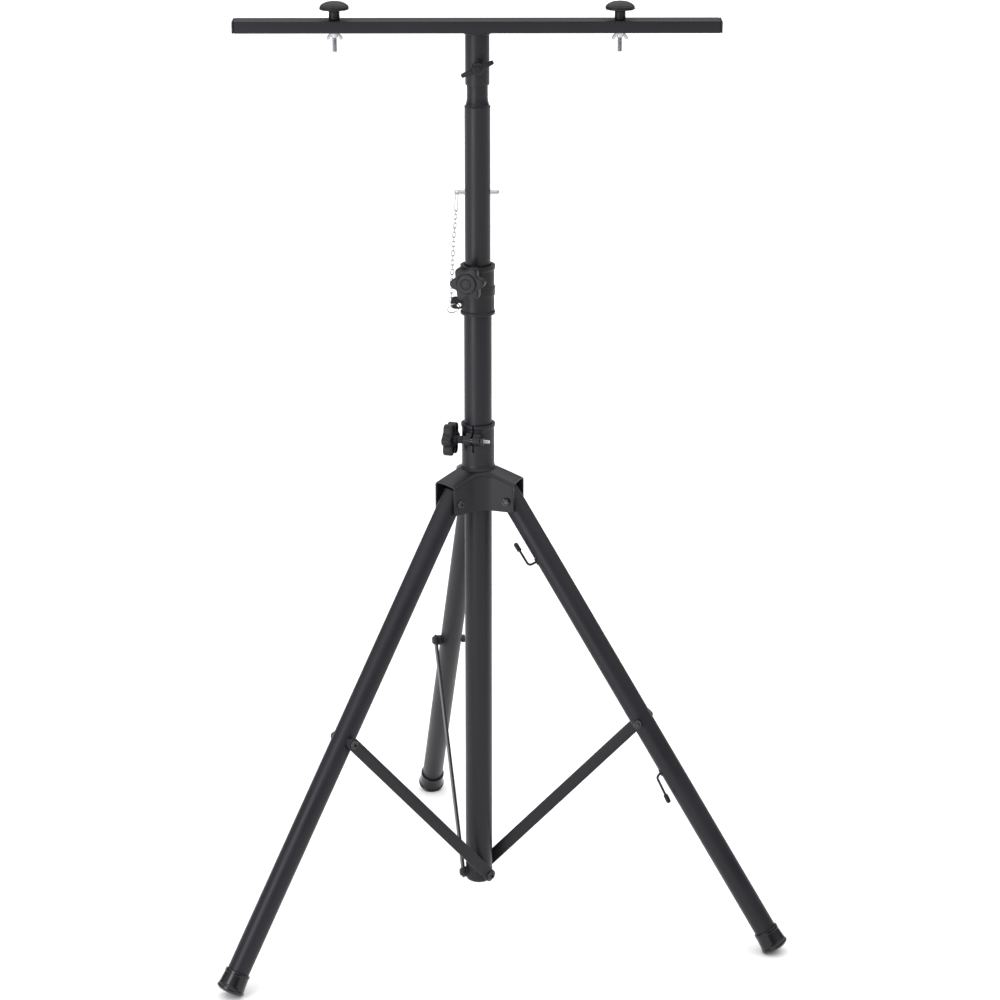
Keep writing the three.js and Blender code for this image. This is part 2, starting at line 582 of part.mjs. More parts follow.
function brace(azimuth, i) {
  const rise = LEG.pivotZ - BRACE.onLeg * Math.cos(rad(LEG.tilt)) - BRACE.footZ;
  const run = LEG.pivotR + BRACE.onLeg * Math.sin(rad(LEG.tilt)) - BRACE.footR;
  const length = Math.hypot(rise, run);
  const side = group(stand, (g) => g.rotateZ(rad(azimuth)));
  const frame = group(side, (g) => {
    g.position.set(BRACE.footR, BRACE.side, BRACE.footZ);
    g.rotateY(Math.atan2(run, rise));
  });
  const half = BRACE.thick / 2;
  const strip = plate(roundedRect(BRACE.width, length + 2 * BRACE.past, 5, 0, length / 2), BRACE.thick)
    .rotateX(Math.PI / 2).translate(0, half, 0);
  const hole = (z) => rod(BOLT.holeR, at(0, -5, z), at(0, 5, z));
  piece(frame, `brace_${i}`, cut(solid(strip), hole(0), hole(length)), powderCoat);
  const seat = half + GAP;
  const stud = join(
    rod(BOLT.shankR, at(0, -half, length), at(0, seat + 1, length)),
    rod(BOLT.headR, at(0, seat, length), at(0, seat + BOLT.head, length), 18),
  );
  piece(frame, `brace_stud_${i}`, stud, blackBolt);
}

// ---------------------------------------------------------------- cable hooks on the last leg

// The hooks are turned round the leg towards its front, so that they fold in beside the mast and not into it.
// Points are [out from the leg's axis, down the leg].
function cableHook(frame, name, points, bend) {
  const place = ([n, s]) => at(-n * Math.cos(rad(HOOK.turn)), -n * Math.sin(rad(HOOK.turn)), -s);
  const [root, elbow, end] = points.map(place);
  const path = new THREE.CurvePath();
  const before = elbow.clone().lerp(root, bend / elbow.distanceTo(root));
  const after = elbow.clone().lerp(end, bend / elbow.distanceTo(end));
  path.add(new THREE.LineCurve3(root, before));
  path.add(new THREE.QuadraticBezierCurve3(before, elbow, after));
  path.add(new THREE.LineCurve3(after, end));
  piece(frame, name, solid(wire(HOOK.wire, path, 10)), powderCoat);

  const way = end.clone().sub(elbow).normalize();
  const step = (d) => end.clone().addScaledVector(way, d);
  const sleeve = join(
    rod(HOOK.tipR, step(2 - HOOK.tip), step(1.2), 12), rod(HOOK.tipR - 0.8, step(0), step(2.2), 12),
  );
  const tip = cut(sleeve, rod(HOOK.wire + GAP, step(-HOOK.tip), step(GAP), 12));
  piece(frame, `${name}_tip`, tip, blackPlastic);
}

// ---------------------------------------------------------------- the whole stand

column();
mastCollar();
pinRing();
mast();
head();
hub();
const legFrames = LEG_AZIMUTHS.map((azimuth, i) => leg(azimuth, i + 1));
LEG_AZIMUTHS.forEach((azimuth, i) => brace(azimuth, i + 1));
cableHook(legFrames[2], 'upper_hook', [[HOOK.root, 87.5], [25.3, 86.8], [25.9, 54.6]], 5);
cableHook(legFrames[2], 'lower_hook', [[HOOK.root, 405.3], [21.4, 407.1], [24.1, 442.3]], 4);

stand.updateMatrixWorld(true);
const box = new THREE.Box3().setFromObject(stand, true);
const centre = box.getCenter(at(0, 0, 0));
stand.position.set(-centre.x, -centre.y, -box.min.z);

export default stand;
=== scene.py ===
"""A folding steel tripod stand for two lamps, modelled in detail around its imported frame.

Shapes are in millimetres from the foot of the mast's axis and are placed in the row frame, in metres.
"""

import json
import math

import bmesh
import bpy
from mathutils import Matrix, Vector

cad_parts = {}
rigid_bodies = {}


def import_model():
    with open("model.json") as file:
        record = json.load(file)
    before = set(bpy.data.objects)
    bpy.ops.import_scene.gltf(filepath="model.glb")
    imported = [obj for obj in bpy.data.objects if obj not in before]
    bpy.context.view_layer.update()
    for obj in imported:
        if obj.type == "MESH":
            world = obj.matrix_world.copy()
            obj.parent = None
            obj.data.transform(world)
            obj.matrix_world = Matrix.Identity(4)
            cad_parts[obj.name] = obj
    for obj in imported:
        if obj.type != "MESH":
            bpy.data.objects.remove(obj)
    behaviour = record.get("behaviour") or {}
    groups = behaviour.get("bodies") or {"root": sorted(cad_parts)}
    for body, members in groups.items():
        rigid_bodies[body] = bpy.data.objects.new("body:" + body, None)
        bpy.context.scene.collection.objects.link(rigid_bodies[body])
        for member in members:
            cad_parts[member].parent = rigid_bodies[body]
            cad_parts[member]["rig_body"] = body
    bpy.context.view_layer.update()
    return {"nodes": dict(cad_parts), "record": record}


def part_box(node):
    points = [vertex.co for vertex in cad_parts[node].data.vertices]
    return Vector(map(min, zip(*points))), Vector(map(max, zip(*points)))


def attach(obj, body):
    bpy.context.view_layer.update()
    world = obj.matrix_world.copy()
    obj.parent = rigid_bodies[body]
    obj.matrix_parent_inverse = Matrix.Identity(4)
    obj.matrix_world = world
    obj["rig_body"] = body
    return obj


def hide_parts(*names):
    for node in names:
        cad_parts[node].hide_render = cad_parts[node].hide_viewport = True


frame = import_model()
scene = bpy.context.scene

# ---------------------------------------------------------------- driving dimensions, in millimetres

GAP = 0.3
WALL = 1.2
MAIN_R, MAIN_LOW, MAIN_HIGH = 17.5, 62, 860
UPPER_R, UPPER_LOW, UPPER_SHOULDER, SPIGOT_R, UPPER_HIGH = 16, 370, 1086, 13, 1150
PIN_R, PIN_Z, PIN_LEFT, PIN_RIGHT, EYE_X = 3, 976.7, -29, 27, -26

AZIMUTHS = (99.8, 219.8, 339.8)
LEG_R, LEG_TILT, PIVOT_R, PIVOT_Z, LEG_PAST, LEG_LONG = 14.3, 32.47, 45.2, 582, 12, 665
STRIP_WIDE, STRIP_THICK, STRIP_SIDE = 16, 3, 21.3
BRACE_FOOT_R, BRACE_FOOT_Z, BRACE_ON_LEG, BRACE_PAST = -1, 54, 333.1, 7
FOOT_END, FOOT_TOP_R, FOOT_WIDE_R, FOOT_TALL = 679.9, 16.4, 18, 27.5

HUB_LOW, HUB_CROWN, HUB_SLOPE, HUB_REACH, HUB_HALF, HUB_WALL = 568, 620, 0.37, 55, 19.5, 2.3
HUB_FILLET, HUB_BEND = 26, 4.5
NECK_R, NECK_TOP, NECK_LOW = 20.7, 678, 572
HUB_CLAMP_AZ, HUB_CLAMP_R, HUB_CLAMP_Z, EAR, SLIT_LOW = 253, 26, 661, 11, 645
MAST_CLAMP_AZ, MAST_CLAMP_Z, MAST_BOSS_R, MAST_BOSS_END = 252, 869.5, 9, 29

COLLAR_R, COLLAR_LIP, COLLAR_LOW, COLLAR_HIGH = 20.75, 22, 821.4, 884.8
RING_R, RING_X, RING_Z, RING_SLOPE, RING_TURN = 8, -30.5, 827.8, 30.5, 50
LUG_X, LUG_Z, LUG_HALF, LUG_THICK, LUG_HOLE = -26, 835, 8, 2.4, 2.8

BAR_LONG, BAR_DEEP, BAR_HIGH, BAR_LOW, BAR_CAP = 600, 30, 15, 1177, 2.5
LAMP_X, LAMP_STEM, LAMP_CAP_R, LAMP_CAP = 175, 12, 18.5, 9.8
SOCKET_R, SOCKET_BORE, SOCKET_LOW = 15, 13.3, 1112
HOOK_TURN = 35
HANDLE_Z, HANDLE_SPAN, HANDLE_LEAN = 1134.8, 43, 24

# The chain's line: from the pin's eye, behind the collar's lug, to beside the ring.
CHAIN_ROUTE = (
    (EYE_X, 0.5, PIN_Z - PIN_R - GAP),
    (-27, 4, 955),
    (-28.5, 8.5, 936),
    (-30.5, 10.5, 910),
    (-32, 11, 880),
    (-33.3, 11, 850),
    (-34, 11, 824),
)

low_corner, high_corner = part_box("main_tube")
MAST = Vector((
    (low_corner.x + high_corner.x) / 2,
    (low_corner.y + high_corner.y) / 2,
    low_corner.z - MAIN_LOW / 1000,
))
TO_ROW = Matrix.Translation(MAST) @ Matrix.Scale(0.001, 4)
HERE = Matrix.Identity(4)

# ---------------------------------------------------------------- camera

CAMERA_AT = Vector((0, -3812, 1802))
CAMERA_DOWN, CAMERA_RIGHT, CAMERA_LENS = 17.86, 0.42, 112.165


def add_camera():
    data = bpy.data.cameras.new("camera")
    data.lens = CAMERA_LENS
    data.sensor_width = 36
    data.clip_end = 100
    camera = bpy.data.objects.new("camera", data)
    camera.location = TO_ROW @ CAMERA_AT
    camera.rotation_euler = (math.radians(90 - CAMERA_DOWN), 0, -math.radians(CAMERA_RIGHT))
    scene.collection.objects.link(camera)
    scene.camera = camera


add_camera()

# ---------------------------------------------------------------- outlines


def rounded(points, closed=True, steps=4):
    """Corners given as (x, y) or (x, y, radius), as a list of points with those corners rounded."""
    out = []
    count = len(points)
    for i, corner in enumerate(points):
        here = Vector(corner[:2])
        radius = corner[2] if len(corner) > 2 else 0
        if radius <= 0 or (not closed and i in (0, count - 1)):
            out.append((here.x, here.y))
            continue
        back = Vector(points[i - 1][:2]) - here
        on = Vector(points[(i + 1) % count][:2]) - here
        angle = back.angle(on)
        reach = min(radius / max(math.tan(angle / 2), 0.05), 0.48 * back.length, 0.48 * on.length)
        start = here + back.normalized() * reach
        end = here + on.normalized() * reach
        for k in range(steps + 1):
            s = k / steps
            p = start * (1 - s) ** 2 + here * 2 * s * (1 - s) + end * s ** 2
            out.append((p.x, p.y))
    return out


def circle(r, count=48, x=0, y=0):
    step = math.tau / count
    return [(x + r * math.cos(i * step), y + r * math.sin(i * step)) for i in range(count)]


def rectangle(width, height, corner, steps=4):
    w, h = width / 2, height / 2
    return rounded([(w, h, corner), (-w, h, corner), (-w, -h, corner), (w, -h, corner)], steps=steps)


def inset(outline, by):
    """A closed anticlockwise outline moved inwards."""
    out = []
    count = len(outline)
    for i in range(count):
        p = Vector(outline[i])
        a = (p - Vector(outline[i - 1])).normalized()
        b = (Vector(outline[(i + 1) % count]) - p).normalized()
        normal = Vector((-(a.y + b.y), a.x + b.x))
        if normal.length < 1e-6:
            normal = Vector((-a.y, a.x))
        normal.normalize()
        spread = max(0.4, normal.dot(Vector((-a.y, a.x))))
        p = p + normal * by / spread
        out.append((p.x, p.y))
    return out


def anticlockwise(outline):
    area = sum(
        outline[i - 1][0] * outline[i][1] - outline[i][0] * outline[i - 1][1] for i in range(len(outline))
    )
    return outline if area > 0 else outline[::-1]


# ---------------------------------------------------------------- solids, each a bmesh in millimetres


def stitch(bm, below, above, closed=True):
    """Faces between two rings of vertices. A ring of one vertex is a point."""
    count = max(len(below), len(above))
    for i in range(count if closed else count - 1):
        j = (i + 1) % count
        corners = []
        lower = below[i % len(below)], below[j % len(below)]
        upper = above[j % len(above)], above[i % len(above)]
        for v in (*lower, *upper):
            if v not in corners:
                corners.append(v)
        if len(corners) > 2:
            bm.faces.new(corners)


def finished(bm):
    bmesh.ops.recalc_face_normals(bm, faces=bm.faces)
    return bm


def turned(profile, sides=48, closed=False):
    """A profile of (radius, height) turned about Z, from the axis back to it or closed on itself."""
    bm = bmesh.new()
    rings = []
    for r, z in profile:
        if r < 1e-6:
            rings.append([bm.verts.new((0, 0, z))])
        else:
            rings.append([bm.verts.new((x, y, z)) for x, y in circle(r, sides)])
    for i in range(len(rings) - 1):
        stitch(bm, rings[i], rings[i + 1])
    if closed:
        stitch(bm, rings[-1], rings[0])
    return finished(bm)


def pipe(outer, inner, low, high, sides=64, edge=0.35):
    corners = [(inner, low, edge), (outer, low, edge), (outer, high, edge), (inner, high, edge)]
    return turned(rounded(corners, steps=3), sides, closed=True)


def prism(outline, low, high, edge=0.5, steps=3):
    """An outline raised along Z between two heights, with rounded rims."""
    outline = anticlockwise(outline)
    bm = bmesh.new()
    rings = []
    levels = []
    for k in range(steps + 1):
        a = math.pi / 2 * k / steps
        levels.append((low + edge * (1 - math.sin(a)), edge * (1 - math.cos(a))))
    levels = levels[::-1]
    ups = [(low + high - z, by) for z, by in levels[::-1]]
    ordered = sorted(levels + ups)
    for z, by in ordered:
        shape = inset(outline, by) if by > 1e-6 else outline
        rings.append([bm.verts.new((x, y, z)) for x, y in shape])
    for i in range(len(rings) - 1):
        stitch(bm, rings[i], rings[i + 1])
    bm.faces.new(rings[0][::-1])
    bm.faces.new(rings[-1])
    return finished(bm)


def cutter(r, low, high, sides=24):
    """A plain round bar along Z, to cut a hole with."""
    return prism(circle(r, sides), low, high, edge=0.01, steps=1)


def hollow_prism(outer, inner, low, high):
    """A tube of any section, open at both ends."""
    bm = bmesh.new()
    loops = []
    for shape, z in ((outer, low), (outer, high), (inner, high), (inner, low)):
        loops.append([bm.verts.new((x, y, z)) for x, y in shape])
    for i in range(4):
        stitch(bm, loops[i], loops[(i + 1) % 4])
    return finished(bm)


def sweep(path, r, sides=16, closed=False, round_ends=True):
    """A round bar along a path of points. r is one radius, or one for each point."""
    path = [Vector(p) for p in path]
    count = len(path)
    radii = [r] * count if isinstance(r, (int, float)) else list(r)
    ways = []
    for i in range(count):
        if closed:
            ways.append((path[(i + 1) % count] - path[i - 1]).normalized())
        else:
            ways.append((path[min(i + 1, count - 1)] - path[max(i - 1, 0)]).normalized())
    normal = ways[0].orthogonal().normalized()
    frames = []
    for i in range(count):
        normal = (normal - ways[i] * normal.dot(ways[i])).normalized()
        frames.append((path[i], normal.copy(), ways[i].cross(normal), radii[i]))
    twist = 0.0
    if closed:
        start, last = frames[0][1], frames[-1][1]
        carried = (last - ways[0] * last.dot(ways[0])).normalized()
        twist = math.atan2(carried.cross(start).dot(ways[0]), carried.dot(start))
    bm = bmesh.new()

    def ring(centre, across, up, radius, turn):
        made = []
        for k in range(sides):
            a = math.tau * k / sides + turn
            made.append(bm.verts.new(centre + across * radius * math.cos(a) + up * radius * math.sin(a)))
        return made

    rings = []
    for i, (centre, across, up, radius) in enumerate(frames):
        rings.append(ring(centre, across, up, radius, twist * i / count))
    if closed:
        rings.append(rings[0])
    else:
        for end, way in ((0, -ways[0]), (-1, ways[-1])):
            centre, across, up, radius = frames[end]
            added = []
            for k in (1, 2):
                a = math.pi / 2 * k / 3
                if round_ends:
                    at = centre + way * radius * math.sin(a)
                    added.append(ring(at, across, up, radius * math.cos(a), 0))
            tip = [bm.verts.new(centre + way * (radius if round_ends else 0))]
            if end == 0:
                rings = [tip] + added[::-1] + rings
            else:
                rings = rings + added + [tip]
    for i in range(len(rings) - 1):
        stitch(bm, rings[i], rings[i + 1])
    return finished(bm)


def threaded(r, low, high, pitch=1.0, depth=0.5, sides=24):
    """A screw thread about Z, from its lower end to its upper end."""
    bm = bmesh.new()
    per_pitch = 4
    count = max(4, int((high - low) / pitch * per_pitch))
    rings = [[bm.verts.new((0, 0, low))]]
    for k in range(count + 1):
        z = low + (high - low) * k / count
        made = []
        for i in range(sides):
            phase = (z / pitch - i / sides) % 1.0
            cut = depth * (1 - abs(2 * phase - 1))
            taper = max(0.0, 1 - (z - low) / pitch, 1 - (high - z) / pitch) * depth
            a = math.tau * i / sides
            radius = min(r - cut, r - taper)
            made.append(bm.verts.new((radius * math.cos(a), radius * math.sin(a), z)))
        rings.append(made)
    rings.append([bm.verts.new((0, 0, high))])
    for i in range(len(rings) - 1):
        stitch(bm, rings[i], rings[i + 1])
    return finished(bm)


def moved(bm, matrix):
    bm.transform(matrix)
    return bm


def merged(*parts):
    """Solids put side by side in one bmesh. They don't touch."""
    whole = bmesh.new()
    for part in parts:
        mesh = bpy.data.meshes.new("part")
        part.to_mesh(mesh)
        whole.from_mesh(mesh)
        bpy.data.meshes.remove(mesh)
        part.free()
    return whole


def combined(bm, operation, *others):
    """The solid joined with others (UNION) or with others cut away (DIFFERENCE)."""
    for other in others:
        pair = []
        for part in (bm, other):
            mesh = bpy.data.meshes.new("part")
            part.to_mesh(mesh)
            part.free()
            made = bpy.data.objects.new("part", mesh)
            scene.collection.objects.link(made)
            pair.append(made)
        modifier = pair[0].modifiers.new("boolean", "BOOLEAN")
        modifier.operation = operation
        modifier.solver = "EXACT"
        modifier.object = pair[1]
        graph = bpy.context.evaluated_depsgraph_get()
        result = bpy.data.meshes.new_from_object(pair[0].evaluated_get(graph))
        bm = bmesh.new()
        bm.from_mesh(result)
        bmesh.ops.remove_doubles(bm, verts=bm.verts, dist=1e-4)
        bmesh.ops.holes_fill(bm, edges=[e for e in bm.edges if e.is_boundary])
        bpy.data.meshes.remove(result)
        for made in pair:
            mesh = made.data
            bpy.data.objects.remove(made)
            bpy.data.meshes.remove(mesh)
    return bm


def aimed(origin, way):
    """A frame at a point whose Z runs along a direction."""
    matrix = Vector(way).to_track_quat("Z", "Y").to_matrix().to_4x4()
    matrix.translation = Vector(origin)
    return matrix


def bar_between(r, start, end, sides=32, edge=0.4):
    """A round bar with rounded rims between two points."""
    way = Vector(end) - Vector(start)
    profile = [(0, 0), (r, 0, edge), (r, way.length, edge), (0, way.length)]
    return moved(turned(rounded(profile, closed=False), sides), aimed(start, way))


# ---------------------------------------------------------------- materials


class Nodes:
    """A small helper that adds nodes to a material and joins them."""

    def __init__(self, name):
        self.material = bpy.data.materials.new(name)
        self.material.use_nodes = True
        self.tree = self.material.node_tree
        self.shader = self.tree.nodes["Principled BSDF"]
        self.place = self.add("ShaderNodeTexCoord").outputs["Object"]

    def add(self, kind, inputs=None, **settings):
        node = self.tree.nodes.new(kind)
        for key, value in settings.items():
            setattr(node, key, value)
        for key, value in (inputs or {}).items():
            if isinstance(value, bpy.types.NodeSocket):
                self.tree.links.new(value, node.inputs[key])
            else:
                node.inputs[key].default_value = value
        return node

    def noise(self, scale, detail=3, roughness=0.5, stretch=None):
        place = self.place
        if stretch:
            place = self.add("ShaderNodeMapping", {"Vector": place, "Scale": stretch}).outputs["Vector"]
        values = {"Vector": place, "Scale": scale, "Detail": detail, "Roughness": roughness}
        return self.add("ShaderNodeTexNoise", values).outputs["Fac"]

    def ramp(self, value, low, high, start=0.0, end=1.0):
        values = {"Value": value, "From Min": low, "From Max": high, "To Min": start, "To Max": end}
        return self.add("ShaderNodeMapRange", values).outputs["Result"]

    def blend(self, factor, a, b):
        node = self.add("ShaderNodeMix", data_type="RGBA")
        self.tree.links.new(factor, node.inputs["Factor"])
        for key, value in (("A", a), ("B", b)):
            socket = [s for s in node.inputs if s.name == key and s.type == "RGBA"][0]
            if isinstance(value, bpy.types.NodeSocket):
                self.tree.links.new(value, socket)
            else:
                socket.default_value = (*value, 1)
        return [s for s in node.outputs if s.type == "RGBA"][0]

    def bump(self, height, strength, distance):
        values = {"Height": height, "Strength": strength, "Distance": distance}
        normal = self.add("ShaderNodeBump", values).outputs["Normal"]
        self.tree.links.new(normal, self.shader.inputs["Normal"])

    def set(self, **values):
        for key, value in values.items():
            socket = self.shader.inputs[key.replace("_", " ")]
            if isinstance(value, bpy.types.NodeSocket):
                self.tree.links.new(value, socket)
            elif isinstance(value, tuple):
                socket.default_value = (*value, 1)
            else:
                socket.default_value = value
        return self.material


def powder_coat():
    """Charcoal powder coat: a fine orange peel, faint clouding and a few worn, paler specks."""
    n = Nodes("powder_coat")
    peel = n.noise(650, detail=2)
    cloud = n.noise(14, detail=3)
    specks = n.ramp(n.noise(420, detail=5, roughness=0.7), 0.71, 0.76)
    base = n.blend(cloud, (0.0085, 0.0078, 0.0105), (0.013, 0.012, 0.016))
    colour = n.blend(specks, base, (0.04, 0.039, 0.042))
    n.bump(peel, 0.12, 0.0004)
    return n.set(
        Base_Color=colour,
        Roughness=n.ramp(cloud, 0.3, 0.7, 0.36, 0.46),
        Specular_IOR_Level=0.26,
    )


def black_plastic():
    """Moulded black plastic with a spark-eroded grain, and faint patches of painted sheen: lighter colour,
    a little rougher.
    """
    n = Nodes("black_plastic")
    grain = n.noise(1500, detail=2)
    # Painted sheen: this noise lightens the base colour in patches, and it also sets the roughness.
    painted_sheen_and_roughness = n.noise(60, detail=3)
    colour = n.blend(painted_sheen_and_roughness, (0.007, 0.007, 0.0085), (0.012, 0.012, 0.014))
    n.bump(grain, 0.10, 0.0002)
    return n.set(Base_Color=colour, Roughness=n.ramp(painted_sheen_and_roughness, 0.3, 0.7, 0.36, 0.48), Specular_IOR_Level=0.24)


def rubber():
    """Smooth black rubber, dusty in places."""
    n = Nodes("rubber")
    dust = n.ramp(n.noise(90, detail=5, roughness=0.65), 0.58, 0.8)
    colour = n.blend(dust, (0.006, 0.006, 0.008), (0.014, 0.0135, 0.014))
    n.bump(n.noise(900, detail=3), 0.08, 0.0002)
    return n.set(Base_Color=colour, Roughness=n.ramp(dust, 0, 1, 0.18, 0.34), Specular_IOR_Level=0.34)


def zinc():
    """Bright zinc plate with fine drawing marks and faint spangle."""
    n = Nodes("zinc")
    streaks = n.noise(40, detail=4, stretch=(30, 30, 3))
    spangle = n.noise(260, detail=2)
    colour = n.blend(spangle, (0.36, 0.37, 0.39), (0.55, 0.55, 0.56))
    n.bump(streaks, 0.08, 0.0002)
    return n.set(Base_Color=colour, Metallic=1.0, Roughness=n.ramp(streaks, 0.3, 0.7, 0.16, 0.30))


def black_bolt():
    """Black-oxide steel with brighter rubbed patches."""
    n = Nodes("black_bolt")
    rub = n.ramp(n.noise(300, detail=4, roughness=0.6), 0.55, 0.72)
    colour = n.blend(rub, (0.035, 0.035, 0.037), (0.12, 0.12, 0.12))
    n.bump(n.noise(1200, detail=2), 0.08, 0.0002)
    return n.set(Base_Color=colour, Metallic=0.7, Roughness=n.ramp(rub, 0, 1, 0.38, 0.28))


MATERIALS = {make.__name__: make() for make in (powder_coat, black_plastic, rubber, zinc, black_bolt)}
SLOTS = {part["node"]: part["material_slot"] for part in frame["record"]["subparts"]}

# ---------------------------------------------------------------- pieces


def piece(node, bm, place=HERE, name=None, slot=None, smooth=35, bevel=0):
    """A detailed piece that stands for a CAD node, rides on its body and takes its material slot."""
    slot = slot or SLOTS[node]
    bm.transform(TO_ROW @ place)
    if place.determinant() < 0:
        bmesh.ops.reverse_faces(bm, faces=bm.faces)
    mesh = bpy.data.meshes.new(name or f"{node}_mesh")
    bm.to_mesh(mesh)
    bm.free()
    mesh.shade_smooth()
    mesh.set_sharp_from_angle(angle=math.radians(smooth))
    made = bpy.data.objects.new(name or f"{node}_mesh", mesh)
    scene.collection.objects.link(made)
    if bevel:
        modifier = made.modifiers.new("bevel", "BEVEL")
        modifier.width = bevel / 1000
        modifier.segments = 2
        modifier.limit_method = "ANGLE"
        modifier.angle_limit = math.radians(smooth)
        modifier.harden_normals = True
    made.data.materials.append(MATERIALS[slot])
    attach(made, frame["nodes"][node]["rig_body"])
    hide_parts(node)
    return made


def smooth_line(points, count):
    """A Catmull-Rom curve through the points, as evenly spaced points."""
    points = [Vector(p) for p in points]
    points = [points[0] * 2 - points[1]] + points + [points[-1] * 2 - points[-2]]
    dense = []
    for i in range(1, len(points) - 2):
        a, b, c, d = points[i - 1:i + 3]
        for k in range(24):
            s = k / 24
            dense.append(
                (
                    (b * 2) + (c - a) * s + (a * 2 - b * 5 + c * 4 - d) * s ** 2
                    + (b * 3 - a - c * 3 + d) * s ** 3
                ) / 2
            )
    dense.append(points[-2])
    lengths = [0.0]
    for a, b in zip(dense, dense[1:]):
        lengths.append(lengths[-1] + (b - a).length)
    out = []
    j = 0
    for k in range(count):
        target = lengths[-1] * k / (count - 1)
        while j < len(dense) - 2 and lengths[j + 1] < target:
            j += 1
        share = (target - lengths[j]) / max(lengths[j + 1] - lengths[j], 1e-9)
        out.append(dense[j].lerp(dense[j + 1], min(max(share, 0), 1)))
    return out, lengths[-1]


def spin(azimuth):
    return Matrix.Rotation(math.radians(azimuth), 4, "Z")


def clamp_frame(azimuth, z, r=0):
    """A frame whose Z points outwards along a level direction, with Y up."""
    a = math.radians(azimuth)
    c, s = math.cos(a), math.sin(a)
    return Matrix(((-s, 0, c, r * c), (c, 0, s, r * s), (0, 1, 0, z), (0, 0, 0, 1)))


# ---------------------------------------------------------------- chain (the only cord)

LINK_LONG, LINK_WIDE, LINK_WIRE, LOOP_LONG = 7.6, 4.2, 0.6, 22.0


def link(centre, along, across, long, wide, wire):
    """One oval link of wire."""
    points = []
    half = (long - wide) / 2
    arc = 7
    for end in (1, -1):
        for k in range(arc):
            a = math.pi * k / (arc - 1) - math.pi / 2
            x = end * (half + wide / 2 * math.cos(a))
            y = end * (wide / 2 * math.sin(a))
            points.append(centre + along * x + across * y)
    return sweep(points, wire, sides=8, closed=True)


def chain():
    """Wire links that hang from the pin's eye: one long loop, then small links turned in turn."""
    line, length = smooth_line(CHAIN_ROUTE, 600)

    def at(distance):
        i = min(max(int(distance / length * 599), 1), 598)
        return line[i], (line[i + 1] - line[i - 1]).normalized()

    links = []
    centre, way = at(LOOP_LONG / 2)
    side = way.cross(Vector((0, 1, 0))).normalized()
    links.append(link(centre + way * -0.5, way, side, LOOP_LONG + 3, LINK_WIDE - 0.8, LINK_WIRE))
    pitch = LINK_LONG - 2.6 * LINK_WIRE
    distance = LOOP_LONG - LINK_WIRE + LINK_LONG / 2 - 1
    turn = 1
    while distance < length - LINK_LONG / 3:
        centre, way = at(distance)
        face = Vector((0, 1, 0)) if turn % 2 else Vector((1, 0, 0))
        across = (face - way * face.dot(way)).normalized()
        links.append(link(centre, way, across, LINK_LONG, LINK_WIDE - 0.6, LINK_WIRE))
        distance += pitch
        turn += 1
    made = piece("pin_chain", merged(*links), smooth=60)


chain()

# ---------------------------------------------------------------- fasteners


def button_head(r, high, socket=2.2, sides=32):
    """A domed screw head on Z = 0 with a hexagon socket."""
    dome = turned(rounded([
        (0, 0), (r, 0, 0.2), (r, high * 0.3, 0.5), (r * 0.72, high, 0.8), (0, high),
    ], closed=False), sides)
    return combined(dome, "DIFFERENCE", cutter(socket, high * 0.35, high + 2, 6))


def hex_nut(r, high, bore=None):
    """A chamfered hexagon nut on Z = 0."""
    body = prism(circle(r, 6), 0, high, edge=0.15, steps=1)
    chamfer = turned([
        (0, -1), (r * 0.9, -1), (r * 1.02, high * 0.25), (r * 1.02, high * 0.75), (r * 0.9, high + 0.02),
        (0, high + 0.02),
    ], 48)
    body = combined(body, "INTERSECT", chamfer)
    if bore:
        body = combined(body, "DIFFERENCE", cutter(bore, -1, high + 1))
    return body


# ---------------------------------------------------------------- column


def column():
    piece("main_tube", pipe(MAIN_R, MAIN_R - WALL, MAIN_LOW, MAIN_HIGH))

    plug = turned(rounded([
        (0, 42), (12.6, 42, 1.5), (16.6, 44.4, 2), (MAIN_R + 0.1, 48.5, 1.5), (MAIN_R + 0.1, 59.8, 0.5),
        (MAIN_R - 0.6, MAIN_LOW - GAP, 0.2), (0, MAIN_LOW - GAP),
    ], closed=False), 64)
    lugs = []
    for azimuth in AZIMUTHS:
        lug = bar_between(7, (BRACE_FOOT_R, 8, BRACE_FOOT_Z), (BRACE_FOOT_R, 19.5, BRACE_FOOT_Z), edge=0.6)
        lugs.append(moved(lug, spin(azimuth)))
    dish = turned(rounded([(0, 41), (8.5, 41), (8.5, 43.4, 0.5), (0, 43.4)], closed=False), 48)
    boss = combined(combined(plug, "UNION", *lugs), "DIFFERENCE", dish)
    piece("base_boss", boss, smooth=32)

    seat = STRIP_SIDE + STRIP_THICK / 2 + GAP
    for i, azimuth in enumerate(AZIMUTHS):
        place = spin(azimuth) @ aimed((BRACE_FOOT_R, seat, BRACE_FOOT_Z), (0, 1, 0))
        washer = rounded([(0, -0.15), (6.2, -0.15, 0.1), (6.2, 0.2, 0.1), (0, 0.2)], closed=False)
        head = merged(button_head(5.6, 3.2), turned(washer, 32))
        piece(f"base_bolt_{i + 1}", head, place)


# ---------------------------------------------------------------- star knobs


